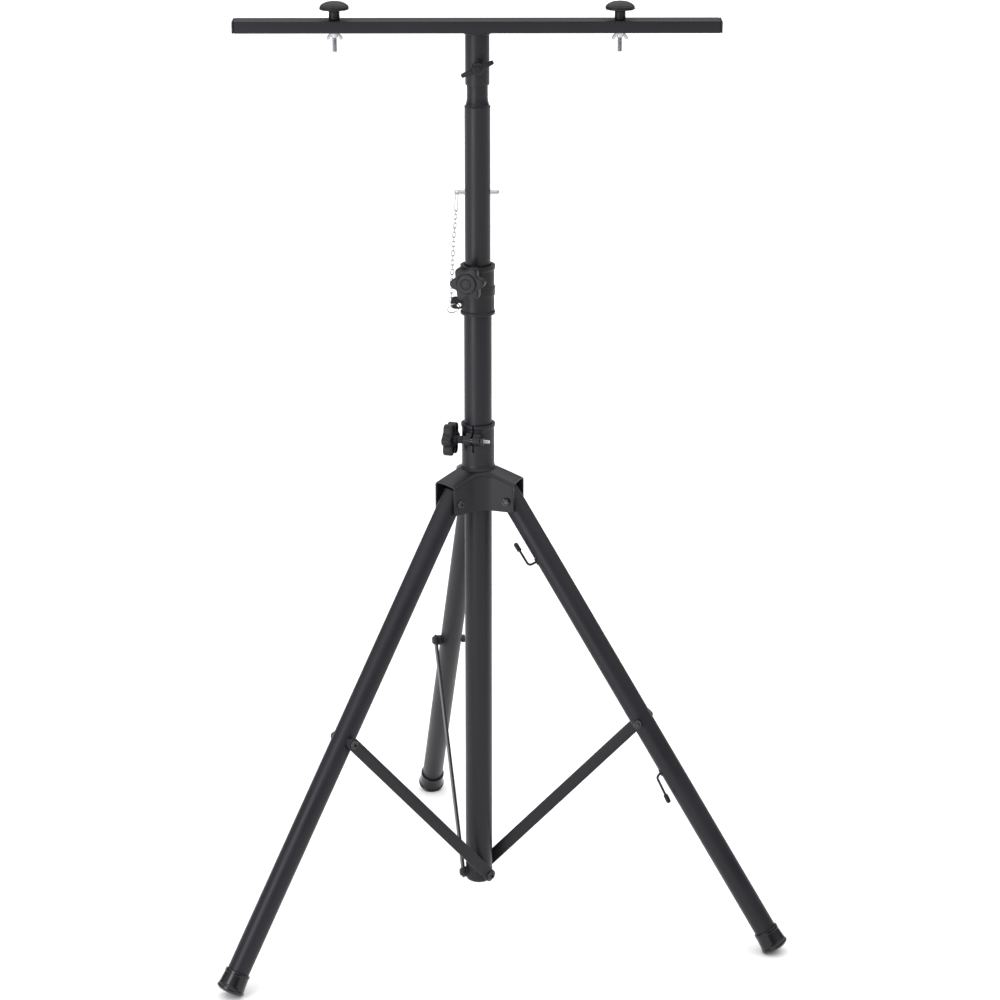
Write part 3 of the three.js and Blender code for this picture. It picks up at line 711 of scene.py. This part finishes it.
def star_knob(node, place, stem_r, stem):
    """A six-lobed clamp knob with its front disc. Z = 0 is the end of its stem."""
    lobes, wave, r, thick, turn = 6, 2.8, 19.7, 12.5, math.radians(5)
    outline = []
    for i in range(144):
        a = math.tau * i / 144
        ripple = math.cos(lobes * (a - turn))
        ripple = ripple + 0.18 * (1 - ripple ** 2)
        outline.append(((r + wave * ripple) * math.cos(a), (r + wave * ripple) * math.sin(a)))
    body = prism(outline, stem, stem + thick, edge=2.2, steps=5)
    neck = turned(rounded([
        (0, 0), (stem_r, 0, 0.6), (stem_r, stem - 1.5, 1.5), (stem_r + 2.5, stem + 1.5), (0, stem + 1.5),
    ], closed=False), 48)
    pockets = []
    for i in range(lobes):
        a = math.tau * i / lobes + turn
        pocket = rounded([(9.5, -3.6, 1), (17.5, -5, 2), (17.5, 5, 2), (9.5, 3.6, 1)])
        pocket = prism(pocket, stem - 3, stem + 4.5, edge=0.3)
        pockets.append(moved(pocket, Matrix.Rotation(a, 4, "Z")))
    body = combined(body, "DIFFERENCE", *pockets)
    rim = turned(rounded([
        (0, stem + thick - 1.2), (13.4, stem + thick - 1.2), (13.4, stem + thick + 1, 0.3),
        (0, stem + thick + 1),
    ], closed=False), 64)
    body = combined(combined(body, "UNION", neck), "DIFFERENCE", rim)
    piece(node, body, place, smooth=32)
    face = stem + thick - 1.1
    cap = turned(rounded([
        (0, face), (12.9, face, 0.2), (12.9, face + 1.9, 0.5), (11.6, face + 2.9, 0.6),
        (7.2, face + 3.2, 0.3),
        (6.8, face + 2.6, 0.3), (6.2, face + 2.6, 0.3), (5.8, face + 3.2, 0.3), (0, face + 3.6),
    ], closed=False), 64)
    piece(f"{node}_cap", cap, place, smooth=40)


# ---------------------------------------------------------------- mast collar, its ring and knob


def ring_axes():
    slope, turn = math.radians(RING_SLOPE), math.radians(RING_TURN)
    to_hole = Vector((math.cos(slope), 0, math.sin(slope)))
    across = Vector((-math.sin(slope), 0, math.cos(slope)))
    wire_way = Vector((0, -math.cos(turn), 0)) + across * math.sin(turn)
    return to_hole, wire_way


def mast_collar():
    mouth = MAIN_HIGH + GAP
    inside = MAIN_R + GAP
    sleeve = turned(rounded([
        (inside, COLLAR_LOW, 0.3), (COLLAR_LIP, COLLAR_LOW, 0.8), (COLLAR_LIP, COLLAR_LOW + 3.2, 0.8),
        (COLLAR_R, COLLAR_LOW + 5.4, 1), (COLLAR_R, 845.4, 0.5), (COLLAR_R + 1.1, 846.4, 0.4),
        (COLLAR_R + 1.1, 856.8, 0.4), (COLLAR_R, 857.8, 0.5), (COLLAR_R, COLLAR_HIGH - 7, 1),
        (COLLAR_LIP, COLLAR_HIGH - 4.6, 0.8), (COLLAR_LIP, COLLAR_HIGH, 0.9),
        (UPPER_R + 1.8, COLLAR_HIGH, 0.4), (UPPER_R + GAP, COLLAR_HIGH - 1.8, 0.3),
        (UPPER_R + GAP, mouth, 0.2), (inside, mouth, 0.2),
    ]), 96, closed=True)
    frame_out = clamp_frame(MAST_CLAMP_AZ, MAST_CLAMP_Z)
    boss = turned(rounded([
        (0, 18.4), (11.5, 18.4), (10.6, 22.5, 2), (MAST_BOSS_R, 24, 1.5),
        (MAST_BOSS_R, MAST_BOSS_END, 0.8),
        (0, MAST_BOSS_END),
    ], closed=False), 48)
    outline = [(x + LUG_X, y + LUG_Z) for x, y in rectangle(2 * LUG_HALF, 2 * LUG_HALF, 6, steps=8)]
    lug = prism(outline, -LUG_THICK / 2, LUG_THICK / 2, edge=0.5)
    lug = moved(lug, Matrix.Rotation(math.pi / 2, 4, "X"))
    to_hole, _ = ring_axes()
    hole_at = Vector((RING_X, 0, RING_Z)) + to_hole * RING_R
    hole = moved(cutter(LUG_HOLE, -5, 5, 32), aimed(hole_at, (0, 1, 0)))
    bore = turned([(0, COLLAR_LOW - 2), (inside, COLLAR_LOW - 2), (inside, mouth), (0, mouth)], 96)
    bore = moved(bore, HERE)
    upper_bore = turned([(0, mouth - 1), (UPPER_R + GAP, mouth - 1), (UPPER_R + GAP, 890), (0, 890)], 96)
    body = combined(sleeve, "UNION", moved(boss, frame_out), lug)
    body = combined(body, "DIFFERENCE", bore, upper_bore, hole)
    piece("mast_collar", body, smooth=32)

    for side, azimuth in ((1, 162), (-1, 342)):
        seam = sweep([
            spin(azimuth) @ Vector((COLLAR_R - 0.15, 0, z)) for z in range(829, 844)
        ], 0.45, sides=8)
        piece("mast_collar", seam, name=f"collar_mould_line_{'a' if side > 0 else 'b'}")

    knob_place = clamp_frame(MAST_CLAMP_AZ, MAST_CLAMP_Z, MAST_BOSS_END + GAP)
    star_knob("mast_knob", knob_place, 7, 4)
    tip = UPPER_R - MAST_BOSS_END
    piece("mast_knob_screw", threaded(4, tip, 10.7, pitch=1.25, depth=0.6), knob_place)


def pin_ring():
    """A split ring: two turns of flat-ground wire through the lug's hole."""
    to_hole, wire_way = ring_axes()
    normal = to_hole.cross(wire_way).normalized()
    turns, steps = 2.0, 96
    points = []
    for i in range(steps + 1):
        a = math.tau * turns * i / steps
        lift = (i / steps - 0.5) * 1.1
        centre = Vector((RING_X, 0, RING_Z)) + normal * lift
        points.append(centre + to_hole * RING_R * math.cos(a) + wire_way * RING_R * math.sin(a))
    piece("pin_ring", sweep(points, 0.52, sides=10), smooth=60)


# ---------------------------------------------------------------- upper mast


def mast():
    s = UPPER_SHOULDER
    inner = UPPER_R - WALL
    tube = turned(rounded([
        (inner, UPPER_LOW, 0.3), (UPPER_R, UPPER_LOW, 0.3), (UPPER_R, s - 2.6, 0.2),
        (UPPER_R + 0.25, s - 1.8, 0.6),
        (UPPER_R - 0.1, s - 0.4, 0.4), (UPPER_R - 1.3, s + 0.1, 0.2), (UPPER_R - 1.5, s + 1.4, 0.8),
        (SPIGOT_R + 0.6, s + 4.6, 2), (SPIGOT_R, s + 9, 3), (SPIGOT_R, UPPER_HIGH, 0.4),
        (SPIGOT_R - WALL, UPPER_HIGH, 0.4), (SPIGOT_R - WALL, s + 9, 2), (inner, s - 2, 2),
    ]), 96, closed=True)
    drill = moved(cutter(PIN_R + 0.4, -22, 22, 32), aimed((0, 0, PIN_Z), (1, 0, 0)))
    piece("upper_tube", combined(tube, "DIFFERENCE", drill), smooth=32)

    bush = turned(rounded([
        (0, UPPER_LOW - 8), (UPPER_R - 0.4, UPPER_LOW - 8, 1), (UPPER_R, UPPER_LOW - GAP, 0.3),
        (inner - GAP, UPPER_LOW - GAP, 0.2), (inner - GAP, UPPER_LOW + 15, 0.5), (0, UPPER_LOW + 15),
    ], closed=False), 48)
    piece("guide_bush", bush)

    long = PIN_RIGHT - PIN_LEFT
    shank = turned(rounded([
        (0, 0), (PIN_R, 0, 0.5), (PIN_R, 5.4, 0.2), (PIN_R - 0.3, 5.7, 0.1), (PIN_R - 0.3, 6.3, 0.1),
        (PIN_R, 6.6, 0.2), (PIN_R, long - 2, 0.6), (PIN_R - 1.5, long, 0.4), (0, long),
    ], closed=False), 48)
    eye = moved(cutter(1.2, -5, 5), aimed((0, 0, EYE_X - PIN_LEFT), (1, 0, 0)))
    pin_place = aimed((PIN_LEFT, 0, PIN_Z), (1, 0, 0))
    piece("safety_pin", combined(shank, "DIFFERENCE", eye), pin_place, smooth=32)


# ---------------------------------------------------------------- T-bar head


def bead(points, r, closed=True, ripple=0.22, pitch=2.4):
    """A weld bead along a line, with its ripples."""
    radii = []
    distance = 0.0
    for i, p in enumerate(points):
        if i:
            distance += (Vector(p) - Vector(points[i - 1])).length
        radii.append(r * (1 + ripple * (abs(math.sin(math.pi * distance / pitch)) - 0.5)))
    return sweep(points, radii, sides=12, closed=closed)


def head():
    top = BAR_LOW + BAR_HIGH
    middle = BAR_LOW + BAR_HIGH / 2
    half = BAR_LONG / 2
    tube_half = half - BAR_CAP - GAP
    on_x = Matrix.Translation((0, 0, middle)) @ Matrix.Rotation(math.pi / 2, 4, "Y")
    outer = rectangle(BAR_HIGH, BAR_DEEP, 1.3, steps=5)
    inner = rectangle(BAR_HIGH - 3, BAR_DEEP - 3, 0.6, steps=5)
    tube = hollow_prism(outer, inner, -tube_half, tube_half)
    piece("crossbar", tube, on_x, smooth=32)

    for side, name in ((-1, "left"), (1, "right")):
        flange = prism(rectangle(BAR_HIGH, BAR_DEEP, 1.6, steps=5), 0, BAR_CAP, edge=1.0, steps=4)
        plug = prism(rectangle(BAR_HIGH - 3.6, BAR_DEEP - 3.6, 1), -12, 0.4, edge=0.4)
        cap = combined(flange, "UNION", plug)
        place = aimed((side * (half - BAR_CAP), 0, middle), (side, 0, 0))
        if abs((place.to_3x3() @ Vector((1, 0, 0))).z) < 0.5:
            place = place @ Matrix.Rotation(math.pi / 2, 4, "Z")
        piece(f"bar_cap_{name}", cap, place, smooth=32)

    socket = turned(rounded([
        (SOCKET_BORE, SOCKET_LOW, 0.3), (SOCKET_R, SOCKET_LOW, 0.9), (SOCKET_R, BAR_LOW - 0.1, 0.05),
        (SOCKET_BORE, BAR_LOW - 0.1, 0.05),
    ]), 96, closed=True)
    screw_way = clamp_frame(270, HANDLE_Z)
    drill = moved(cutter(3.3, 5, 25), screw_way)
    piece("socket_tube", combined(socket, "DIFFERENCE", drill), smooth=32)
    ring = [Vector((x, y, BAR_LOW - 0.9)) for x, y in circle(SOCKET_R + 0.7, 96)]
    ring = [Vector((p.x, max(min(p.y, BAR_DEEP / 2 - 1.2), 1.2 - BAR_DEEP / 2), p.z)) for p in ring]
    piece("socket_tube", bead(ring, 1.5), name="socket_weld", smooth=60)

    # The nut under the handle is a teardrop welded to the socket, its point upwards.
    drop = [(5.6 * math.cos(a), 5.6 * math.sin(a)) for a in [math.radians(d) for d in range(150, 391, 8)]]
    drop = drop + [(0.6, 12.2), (-0.6, 12.2)]
    nut = prism(drop, SOCKET_R - 0.9, 18.5, edge=0.7)
    nut = combined(nut, "DIFFERENCE", cutter(3.3, 5, 25))
    piece("socket_tube", nut, screw_way, name="socket_nut", smooth=32)

    handle()
    for side, name in ((-1, "left"), (1, "right")):
        lamp_clamp(name, side * LAMP_X, top)


def handle():
    """The T-handle of the socket's clamp screw: two tapering wings on a round boss."""
    place = clamp_frame(270, HANDLE_Z)
    half = HANDLE_SPAN / 2
    wing = rounded([
        (half, -2.1, 0.6), (half, 2.1, 0.6), (9, 3.6, 6), (0, 6.4, 6), (-9, 3.6, 6), (-half, 2.1, 0.6),
        (-half, -2.1, 0.6), (-9, -3.6, 6), (0, -6.4, 6), (9, -3.6, 6),
    ], steps=5)
    wings = prism(wing, 20.2, 25.6, edge=0.5)
    wings = moved(wings, Matrix.Rotation(math.radians(HANDLE_LEAN), 4, "Z"))
    boss = turned(rounded([
        (0, 18.8), (6.6, 18.8, 0.5), (8.2, 20.6, 1), (7.8, 25, 1), (6.2, 26.8, 1), (0, 27),
    ], closed=False), 64)
    pad = rounded([(0, 27.1), (4.4, 27.1), (4.4, 27.7, 0.3), (3.6, 28, 0.3), (0, 28)], closed=False)
    pad = turned(pad, 48)
    piece("socket_handle", merged(boss, pad), place, name="socket_handle_boss", smooth=32)
    piece("socket_handle", wings, place, name="socket_handle_wings", smooth=32)
    piece("socket_screw", threaded(3, SPIGOT_R + GAP, 24.7), place)


def lamp_clamp(name, x, top):
    place = Matrix.Translation((x, 0, 0))
    seat = top + GAP
    cap = seat + LAMP_STEM
    r = LAMP_CAP_R
    mushroom = turned(rounded([
        (0, seat), (6.9, seat, 0.5), (6.7, seat + 5, 1), (6.6, cap - 2.4, 2), (8.4, cap - 0.4, 1.4),
        (14, cap, 0.8), (15.6, cap + 1, 1), (r - 0.6, cap + 0.2, 0.6), (r, cap + 1.6, 0.8),
        (r - 0.5, cap + 4, 1.6), (r - 3.2, cap + 6.6, 3), (r - 8, cap + 8.9, 5), (6, cap + LAMP_CAP, 4),
        (0, cap + LAMP_CAP),
    ], closed=False, steps=5), 120)
    # Shallow grips round the rim.
    for v in mushroom.verts:
        out = math.hypot(v.co.x, v.co.y)
        high = (v.co.z - cap) / LAMP_CAP
        if out > r * 0.7 and 0.02 < high < 0.75:
            a = math.atan2(v.co.y, v.co.x)
            scale = 1 - 0.022 * (0.5 + 0.5 * math.cos(12 * a)) * min(1, (out / r - 0.7) * 6)
            v.co.x *= scale
            v.co.y *= scale
    piece(f"lamp_knob_{name}", mushroom, place, smooth=40)
    piece(f"lamp_bolt_{name}", threaded(3, 1152.5, seat + 11.7), place)

    nut_top = BAR_LOW - GAP
    hub_shape = turned(rounded([
        (0, nut_top - 6.5), (3.9, nut_top - 6.5, 0.5), (4.5, nut_top - 3, 1.5), (5.6, nut_top - 1.2, 0.5),
        (5.6, nut_top, 0.3), (0, nut_top),
    ], closed=False), 48)
    wings = []
    blade = rounded([
        (2.6, -1.2, 0.6), (5.0, -0.9, 1), (8.4, -4.2, 2), (10.6, -7.8, 1.6), (8.6, -9.9, 1.8),
        (6.2, -8.6, 1.6),
        (4.4, -5.4, 1), (2.6, -4.8, 0.6),
    ], steps=5)
    for side in (0, math.pi):
        wing = prism(blade, -1.15, 1.15, edge=0.5)
        upright = Matrix.Translation((0, 0, nut_top)) @ Matrix.Rotation(math.pi / 2, 4, "X")
        turn = Matrix.Rotation(side, 4, "Z") @ upright
        wings.append(moved(wing, turn))
    thread = moved(cutter(3.15, nut_top - 12, nut_top + 1), HERE)
    nut = combined(combined(hub_shape, "UNION", *wings), "DIFFERENCE", thread)
    piece(f"wing_nut_{name}", nut, place, smooth=35)


# ---------------------------------------------------------------- hub


def hub_columns():
    """Points round the bracket's outside, as (point, outward normal or None for an arm's open end)."""
    out = []
    half, fillet = HUB_HALF, HUB_FILLET
    centre_r = (half + fillet) / math.sin(math.pi / 3)
    for azimuth in AZIMUTHS:
        a = math.radians(azimuth)
        radial = Vector((math.cos(a), math.sin(a)))
        side = Vector((-radial.y, radial.x))
        inner = half - HUB_BEND
        for k in range(7):
            t = -inner + 2 * inner * k / 6
            out.append((radial * HUB_REACH + side * t, None))
        middle = a + math.pi / 3
        foot = centre_r * math.cos(math.pi / 3)
        for k in range(7):
            r = HUB_REACH + (foot - HUB_REACH) * k / 7
            out.append((radial * r + side * half, side))
        centre = Vector((math.cos(middle), math.sin(middle))) * centre_r
        for k in range(15):
            b = middle + math.pi + math.pi / 6 - (k / 14) * (math.pi / 3)
            way = Vector((math.cos(b), math.sin(b)))
            out.append((centre + way * fillet, -way))
        radial_next = Vector((math.cos(a + math.tau / 3), math.sin(a + math.tau / 3)))
        side_next = Vector((-radial_next.y, radial_next.x))
        for k in range(1, 8):
            r = foot + (HUB_REACH - foot) * k / 7
            out.append((radial_next * r - side_next * half, -side_next))
    return out


def hub_shell():
    """The pressed bracket as a sheet: webs that turn over a soft bend into a shallow cone."""
    bm = bmesh.new()
    bend_steps, top_steps = 5, 7
    neck = NECK_R - 1.5
    columns = []
    for point, normal in hub_columns():
        out = []
        edge_z = HUB_CROWN - HUB_SLOPE * (point.length - neck)
        if normal is None:
            inner = point
        else:
            for z in (HUB_LOW, HUB_LOW + 1.2, (HUB_LOW + edge_z) / 2, edge_z - HUB_BEND - 0.5):
                out.append(bm.verts.new((point.x, point.y, z)))
            for k in range(bend_steps):
                a = math.pi / 2 * 0.86 * k / bend_steps
                p = point - normal * HUB_BEND * (1 - math.cos(a))
                out.append(bm.verts.new((p.x, p.y, edge_z - HUB_BEND * (1 - math.sin(a)))))
            inner = point - normal * HUB_BEND
        ring_start = len(out)
        way = inner.normalized()
        for k in range(top_steps + 1):
            r = inner.length + (neck - inner.length) * k / top_steps
            z = HUB_CROWN - HUB_SLOPE * (r - neck)
            out.append(bm.verts.new((way.x * r, way.y * r, z)))
        columns.append((out, ring_start, normal))
    count = len(columns)
    for i in range(count):
        a, a_start, a_normal = columns[i]
        b, b_start, b_normal = columns[(i + 1) % count]
        for k in range(top_steps):
            bm.faces.new((a[a_start + k], b[b_start + k], b[b_start + k + 1], a[a_start + k + 1]))
        if a_normal is not None and b_normal is not None:
            for k in range(a_start):
                bm.faces.new((a[k], b[k], b[k + 1], a[k + 1]))
    bmesh.ops.remove_doubles(bm, verts=bm.verts, dist=0.02)
    return finished(bm)


def hub():
    shell = hub_shell()
    made = piece("hub", shell, name="hub_bracket", smooth=50)
    thick = made.modifiers.new("sheet", "SOLIDIFY")
    thick.thickness = HUB_WALL / 1000
    thick.offset = -1
    thick.use_even_offset = True
    soft = made.modifiers.new("edges", "BEVEL")
    soft.width = 0.0005
    soft.segments = 2
    soft.limit_method = "ANGLE"
    soft.angle_limit = math.radians(50)

    inside = MAIN_R + GAP
    neck = turned(rounded([
        (inside, NECK_LOW, 0.3), (NECK_R, NECK_LOW, 0.5), (NECK_R, HUB_CROWN - 3, 0.2),
        (NECK_R + 2.6, HUB_CROWN - 1.2, 0.2), (NECK_R + 0.4, HUB_CROWN + 2.2, 2.5),
        (NECK_R, HUB_CROWN + 6, 1),
        (NECK_R, NECK_TOP - 6, 1), (NECK_R + 1.1, NECK_TOP - 3.4, 0.8), (NECK_R + 1.1, NECK_TOP, 0.6),
        (inside, NECK_TOP, 0.4),
    ]), 96, closed=True)
    facing = spin(HUB_CLAMP_AZ)
    r, z = HUB_CLAMP_R, HUB_CLAMP_Z
    barrel = moved(bar_between(5.2, (r, -EAR - 1, z), (r, EAR, z), edge=0.8), facing)
    cheek = rounded([(14, z - 8.5), (r - 3.4, z - 8.5, 2.5), (r + 1.5, z - 4.6, 2), (r + 1.5, z + 4.6, 2),
                     (r - 3.4, z + 8.5, 2.5), (14, z + 8.5)])
    ears = prism(cheek, -EAR + 1.2, EAR - 2.2, edge=0.8)
    ears = moved(ears, facing @ Matrix.Rotation(math.pi / 2, 4, "X"))
    slit = rounded([(r - 17, -1.25), (r + 9, -1.25), (r + 9, 1.25), (r - 17, 1.25)])
    slit = prism(slit, SLIT_LOW, NECK_TOP + 3, edge=0.01, steps=1)
    keyhole = moved(cutter(1.9, r - 17, r + 9), facing @ aimed((0, 0, SLIT_LOW), (1, 0, 0)))
    drill = moved(cutter(2.8, -40, 40), facing @ aimed((r, 0, z), (0, 1, 0)))
    low, high = NECK_LOW - 3, NECK_TOP + 3
    bore = turned([(0, low), (inside, low), (inside, high), (0, high)], 96)
    body = combined(neck, "UNION", barrel, ears)
    body = combined(body, "DIFFERENCE", bore, moved(slit, facing), keyhole, drill)
    piece("hub", body, name="hub_neck", smooth=32)

    for i, azimuth in enumerate(AZIMUTHS):
        wall = HUB_HALF + GAP / 2
        bolt_place = spin(azimuth) @ aimed((PIVOT_R, wall, PIVOT_Z), (0, 1, 0))
        end = -2 * wall - 3.6
        shank = turned(rounded([(0, end), (2.9, end, 0.6), (2.9, 0.1), (0, 0.1)], closed=False), 24)
        shank = moved(shank, Matrix.Translation((0, 0, -0.4)))
        piece(f"leg_pivot_bolt_{i + 1}", merged(button_head(5.5, 3, socket=1.9), shank), bolt_place)
        nut_place = spin(azimuth) @ aimed((PIVOT_R, -wall, PIVOT_Z), (0, -1, 0))
        piece(f"leg_pivot_nut_{i + 1}", hex_nut(5.2, 4, bore=3.1), nut_place)

    a = math.radians(HUB_CLAMP_AZ)
    c, s = math.cos(a), math.sin(a)
    off = EAR + 1 + GAP
    place = Matrix((
        (c, 0, s, r * c + s * off),
        (s, 0, -c, r * s - c * off),
        (0, 1, 0, z),
        (0, 0, 0, 1),
    ))
    star_knob("hub_knob", place, 4.9, 10)
    back = -(2 * EAR + 1 + GAP)
    piece("hub_screw", threaded(2.5, back - 12, 16.7, pitch=0.9, depth=0.42), place)
    piece("hub_nut", hex_nut(4.6, 4, bore=2.7), place @ Matrix.Translation((0, 0, back - GAP - 4)))


# ---------------------------------------------------------------- legs and braces


def leg_frame(azimuth):
    tilt = Matrix.Rotation(-math.radians(LEG_TILT), 4, "Y")
    return spin(azimuth) @ Matrix.Translation((PIVOT_R, 0, PIVOT_Z)) @ tilt


def leg(i, azimuth):
    place = leg_frame(azimuth)
    piece(f"leg_tube_{i}", pipe(LEG_R, LEG_R - WALL, -LEG_LONG, LEG_PAST, sides=64), place)
    foot(i, place)

    z = -BRACE_ON_LEG
    strip = STRIP_SIDE - STRIP_THICK / 2 - GAP
    spacer = bar_between(6.8, (0, 9, z), (0, strip, z), edge=0.6)
    scoop = turned([(0, z - 20), (LEG_R + 0.1, z - 20), (LEG_R + 0.1, z + 20), (0, z + 20)], 64)
    piece(f"saddle_{i}", combined(spacer, "DIFFERENCE", scoop), place, smooth=32)
    washer = -LEG_R - 0.4
    nut = moved(hex_nut(6, 4.6), aimed((0, washer, z), (0, -1, 0)))
    tip = moved(threaded(3, 0, 2.2), aimed((0, washer - 4.4, z), (0, -1, 0)))
    piece(f"brace_bolt_{i}", merged(nut, tip), place)


def foot(i, place):
    """The rubber foot: a lipped cup that flares to a rolled base, settled flat where it stands."""
    end = -FOOT_END
    w = FOOT_WIDE_R
    cup = turned(rounded([
        (LEG_R + 0.1, -LEG_LONG - GAP, 0.2), (LEG_R + 0.1, end + FOOT_TALL, 0.3),
        (FOOT_TOP_R, end + FOOT_TALL, 0.9), (FOOT_TOP_R, end + FOOT_TALL - 4, 0.6),
        (FOOT_TOP_R - 0.35, end + FOOT_TALL - 4.8, 0.5), (FOOT_TOP_R + 0.5, end + 9.2, 2),
        (w - 0.7, end + 7.2, 0.8), (w - 1.0, end + 6.2, 0.4), (w + 0.1, end + 5.2, 0.9),
        (w + 0.1, end + 2.6, 2),
        (w - 3.6, end - 0.2, 2.4), (9, end - 0.9, 0.4), (9, end + 0.4, 0.3), (6, end + 0.4, 0.3),
        (6, end - 1.1, 0.4),
        (0, end - 1.3), (0, -LEG_LONG - GAP),
    ], steps=5), 96, closed=True)
    cup.transform(TO_ROW @ place)
    for v in cup.verts:
        v.co.z = max(v.co.z, 0.0)
    cup.transform((TO_ROW @ place).inverted())
    piece(f"foot_{i}", cup, place, smooth=45)


def brace(i, azimuth):
    tilt = math.radians(LEG_TILT)
    rise = PIVOT_Z - BRACE_ON_LEG * math.cos(tilt) - BRACE_FOOT_Z
    run = PIVOT_R + BRACE_ON_LEG * math.sin(tilt) - BRACE_FOOT_R
    long = math.hypot(rise, run)
    place = spin(azimuth) @ Matrix.Translation((BRACE_FOOT_R, STRIP_SIDE, BRACE_FOOT_Z))
    place = place @ Matrix.Rotation(math.atan2(run, rise), 4, "Y")
    half = STRIP_THICK / 2
    w = STRIP_WIDE / 2
    outline = rounded([
        (w, -BRACE_PAST, 6.5), (w, long + BRACE_PAST, 6.5), (-w, long + BRACE_PAST, 6.5),
        (-w, -BRACE_PAST, 6.5),
    ], steps=8)
    stand_up = Matrix.Rotation(math.pi / 2, 4, "X")
    strip = moved(prism(outline, -half, half, edge=0.7), stand_up)
    holes = [moved(cutter(3.2, -5, 5), aimed((0, 0, z), (0, 1, 0))) for z in (0, long)]
    piece(f"brace_{i}", combined(strip, "DIFFERENCE", *holes), place, smooth=32)
    head = merged(
        button_head(5.9, 3.2),
        turned(rounded([(0, -3.15), (2.9, -3.15, 0.3), (2.9, -0.5), (0, -0.5)], closed=False), 24),
    )
    piece(f"brace_stud_{i}", head, place @ aimed((0, half + 0.1, long), (0, 1, 0)))


# ---------------------------------------------------------------- cable hooks


def hook(name, points, bend, place):
    """A bent wire welded to the leg, with a dipped tip. Points are (out from its axis, down the leg)."""
    turn = math.radians(HOOK_TURN)
    out = Vector((-math.cos(turn), -math.sin(turn), 0))
    root, elbow, end = [out * n + Vector((0, 0, -s)) for n, s in points]
    before = elbow + (root - elbow).normalized() * bend
    after = elbow + (end - elbow).normalized() * bend
    line = [root, root.lerp(before, 0.5), before]
    for k in range(1, 9):
        s = k / 9
        line.append(before * (1 - s) ** 2 + elbow * 2 * s * (1 - s) + after * s ** 2)
    line += [after, after.lerp(end, 0.33), after.lerp(end, 0.66), end]
    piece(name, sweep(line, 1.55, sides=20), place, smooth=60)
    patch = []
    for k in range(20):
        a = math.tau * k / 20
        side, z = 2.5 * math.cos(a), 3.6 * math.sin(a)
        depth = math.sqrt(LEG_R ** 2 - side ** 2) - 0.3
        patch.append(out * depth + Vector((-out.y, out.x, 0)) * side + Vector((0, 0, z - points[0][1])))
    piece(name, bead(patch, 1.25, pitch=2.2), place, name=f"{name}_weld", smooth=60)
    way = (end - elbow).normalized()
    tip = turned(rounded([
        (1.7, 0, 0.2), (2.9, 0, 0.6), (3.05, 5, 1), (3.0, 9.4, 1.2), (2.2, 11.6, 1.4), (0, 12.1),
        (0, 10.6),
        (1.7, 10.2),
    ], steps=4), 40, closed=True)
    piece(f"{name}_tip", tip, place @ aimed(end - way * 9.8, way), smooth=50)


# ---------------------------------------------------------------- stage


def area_light(name, at, size, watts, colour=(1, 1, 1), target=(0, 0, 600)):
    data = bpy.data.lights.new(name, "AREA")
    data.shape = "RECTANGLE"
    data.size, data.size_y = size
    data.energy = watts
    data.color = colour
    made = bpy.data.objects.new(name, data)
    made.location = TO_ROW @ Vector(at)
    way = TO_ROW @ Vector(target) - made.location
    made.rotation_euler = way.to_track_quat("-Z", "Y").to_euler()
    scene.collection.objects.link(made)


def overhead(tree):
    """A studio's light: dim walls and a bright ceiling, brighter the higher the direction."""
    place = tree.nodes.new("ShaderNodeTexCoord")
    split = tree.nodes.new("ShaderNodeSeparateXYZ")
    rise = tree.nodes.new("ShaderNodeMapRange")
    rise.interpolation_type = "SMOOTHSTEP"
    for key, value in (("From Min", 0.15), ("From Max", 0.85), ("To Min", 0.16), ("To Max", 1.95)):
        rise.inputs[key].default_value = value
    tree.links.new(place.outputs["Generated"], split.inputs["Vector"])
    tree.links.new(split.outputs["Z"], rise.inputs["Value"])
    return rise.outputs["Result"]


def stage():
    mesh = bpy.data.meshes.new("floor")
    size = 30
    corners = [(-size, -size, 0), (size, -size, 0), (size, size, 0), (-size, size, 0)]
    mesh.from_pydata(corners, [], [(0, 1, 2, 3)])
    floor = bpy.data.objects.new("floor", mesh)
    n = Nodes("floor")
    pale = n.set(Base_Color=(0.92, 0.92, 0.92), Roughness=0.9, Specular_IOR_Level=0.1)
    floor.data.materials.append(pale)
    floor.location.z = -0.0002
    scene.collection.objects.link(floor)

    world = bpy.data.worlds.new("studio")
    world.use_nodes = True
    background = world.node_tree.nodes["Background"]
    background.inputs["Color"].default_value = (1, 1, 1, 1)
    world.node_tree.links.new(overhead(world.node_tree), background.inputs["Strength"])
    scene.world = world
    scene.view_settings.view_transform = "Standard"

    area_light("key", (-1700, -1900, 850), (0.9, 1.7), 30, colour=(1.0, 0.96, 1.0))


column()
mast_collar()
pin_ring()
mast()
head()
hub()
for index, angle in enumerate(AZIMUTHS):
    leg(index + 1, angle)
    brace(index + 1, angle)
RIGHT_LEG = leg_frame(AZIMUTHS[2])
hook("upper_hook", [(LEG_R - 0.4, 87.5), (25.3, 86.8), (25.9, 54.6)], 5, RIGHT_LEG)
hook("lower_hook", [(LEG_R - 0.4, 405.3), (21.4, 407.1), (24.1, 442.3)], 4, RIGHT_LEG)
stage()
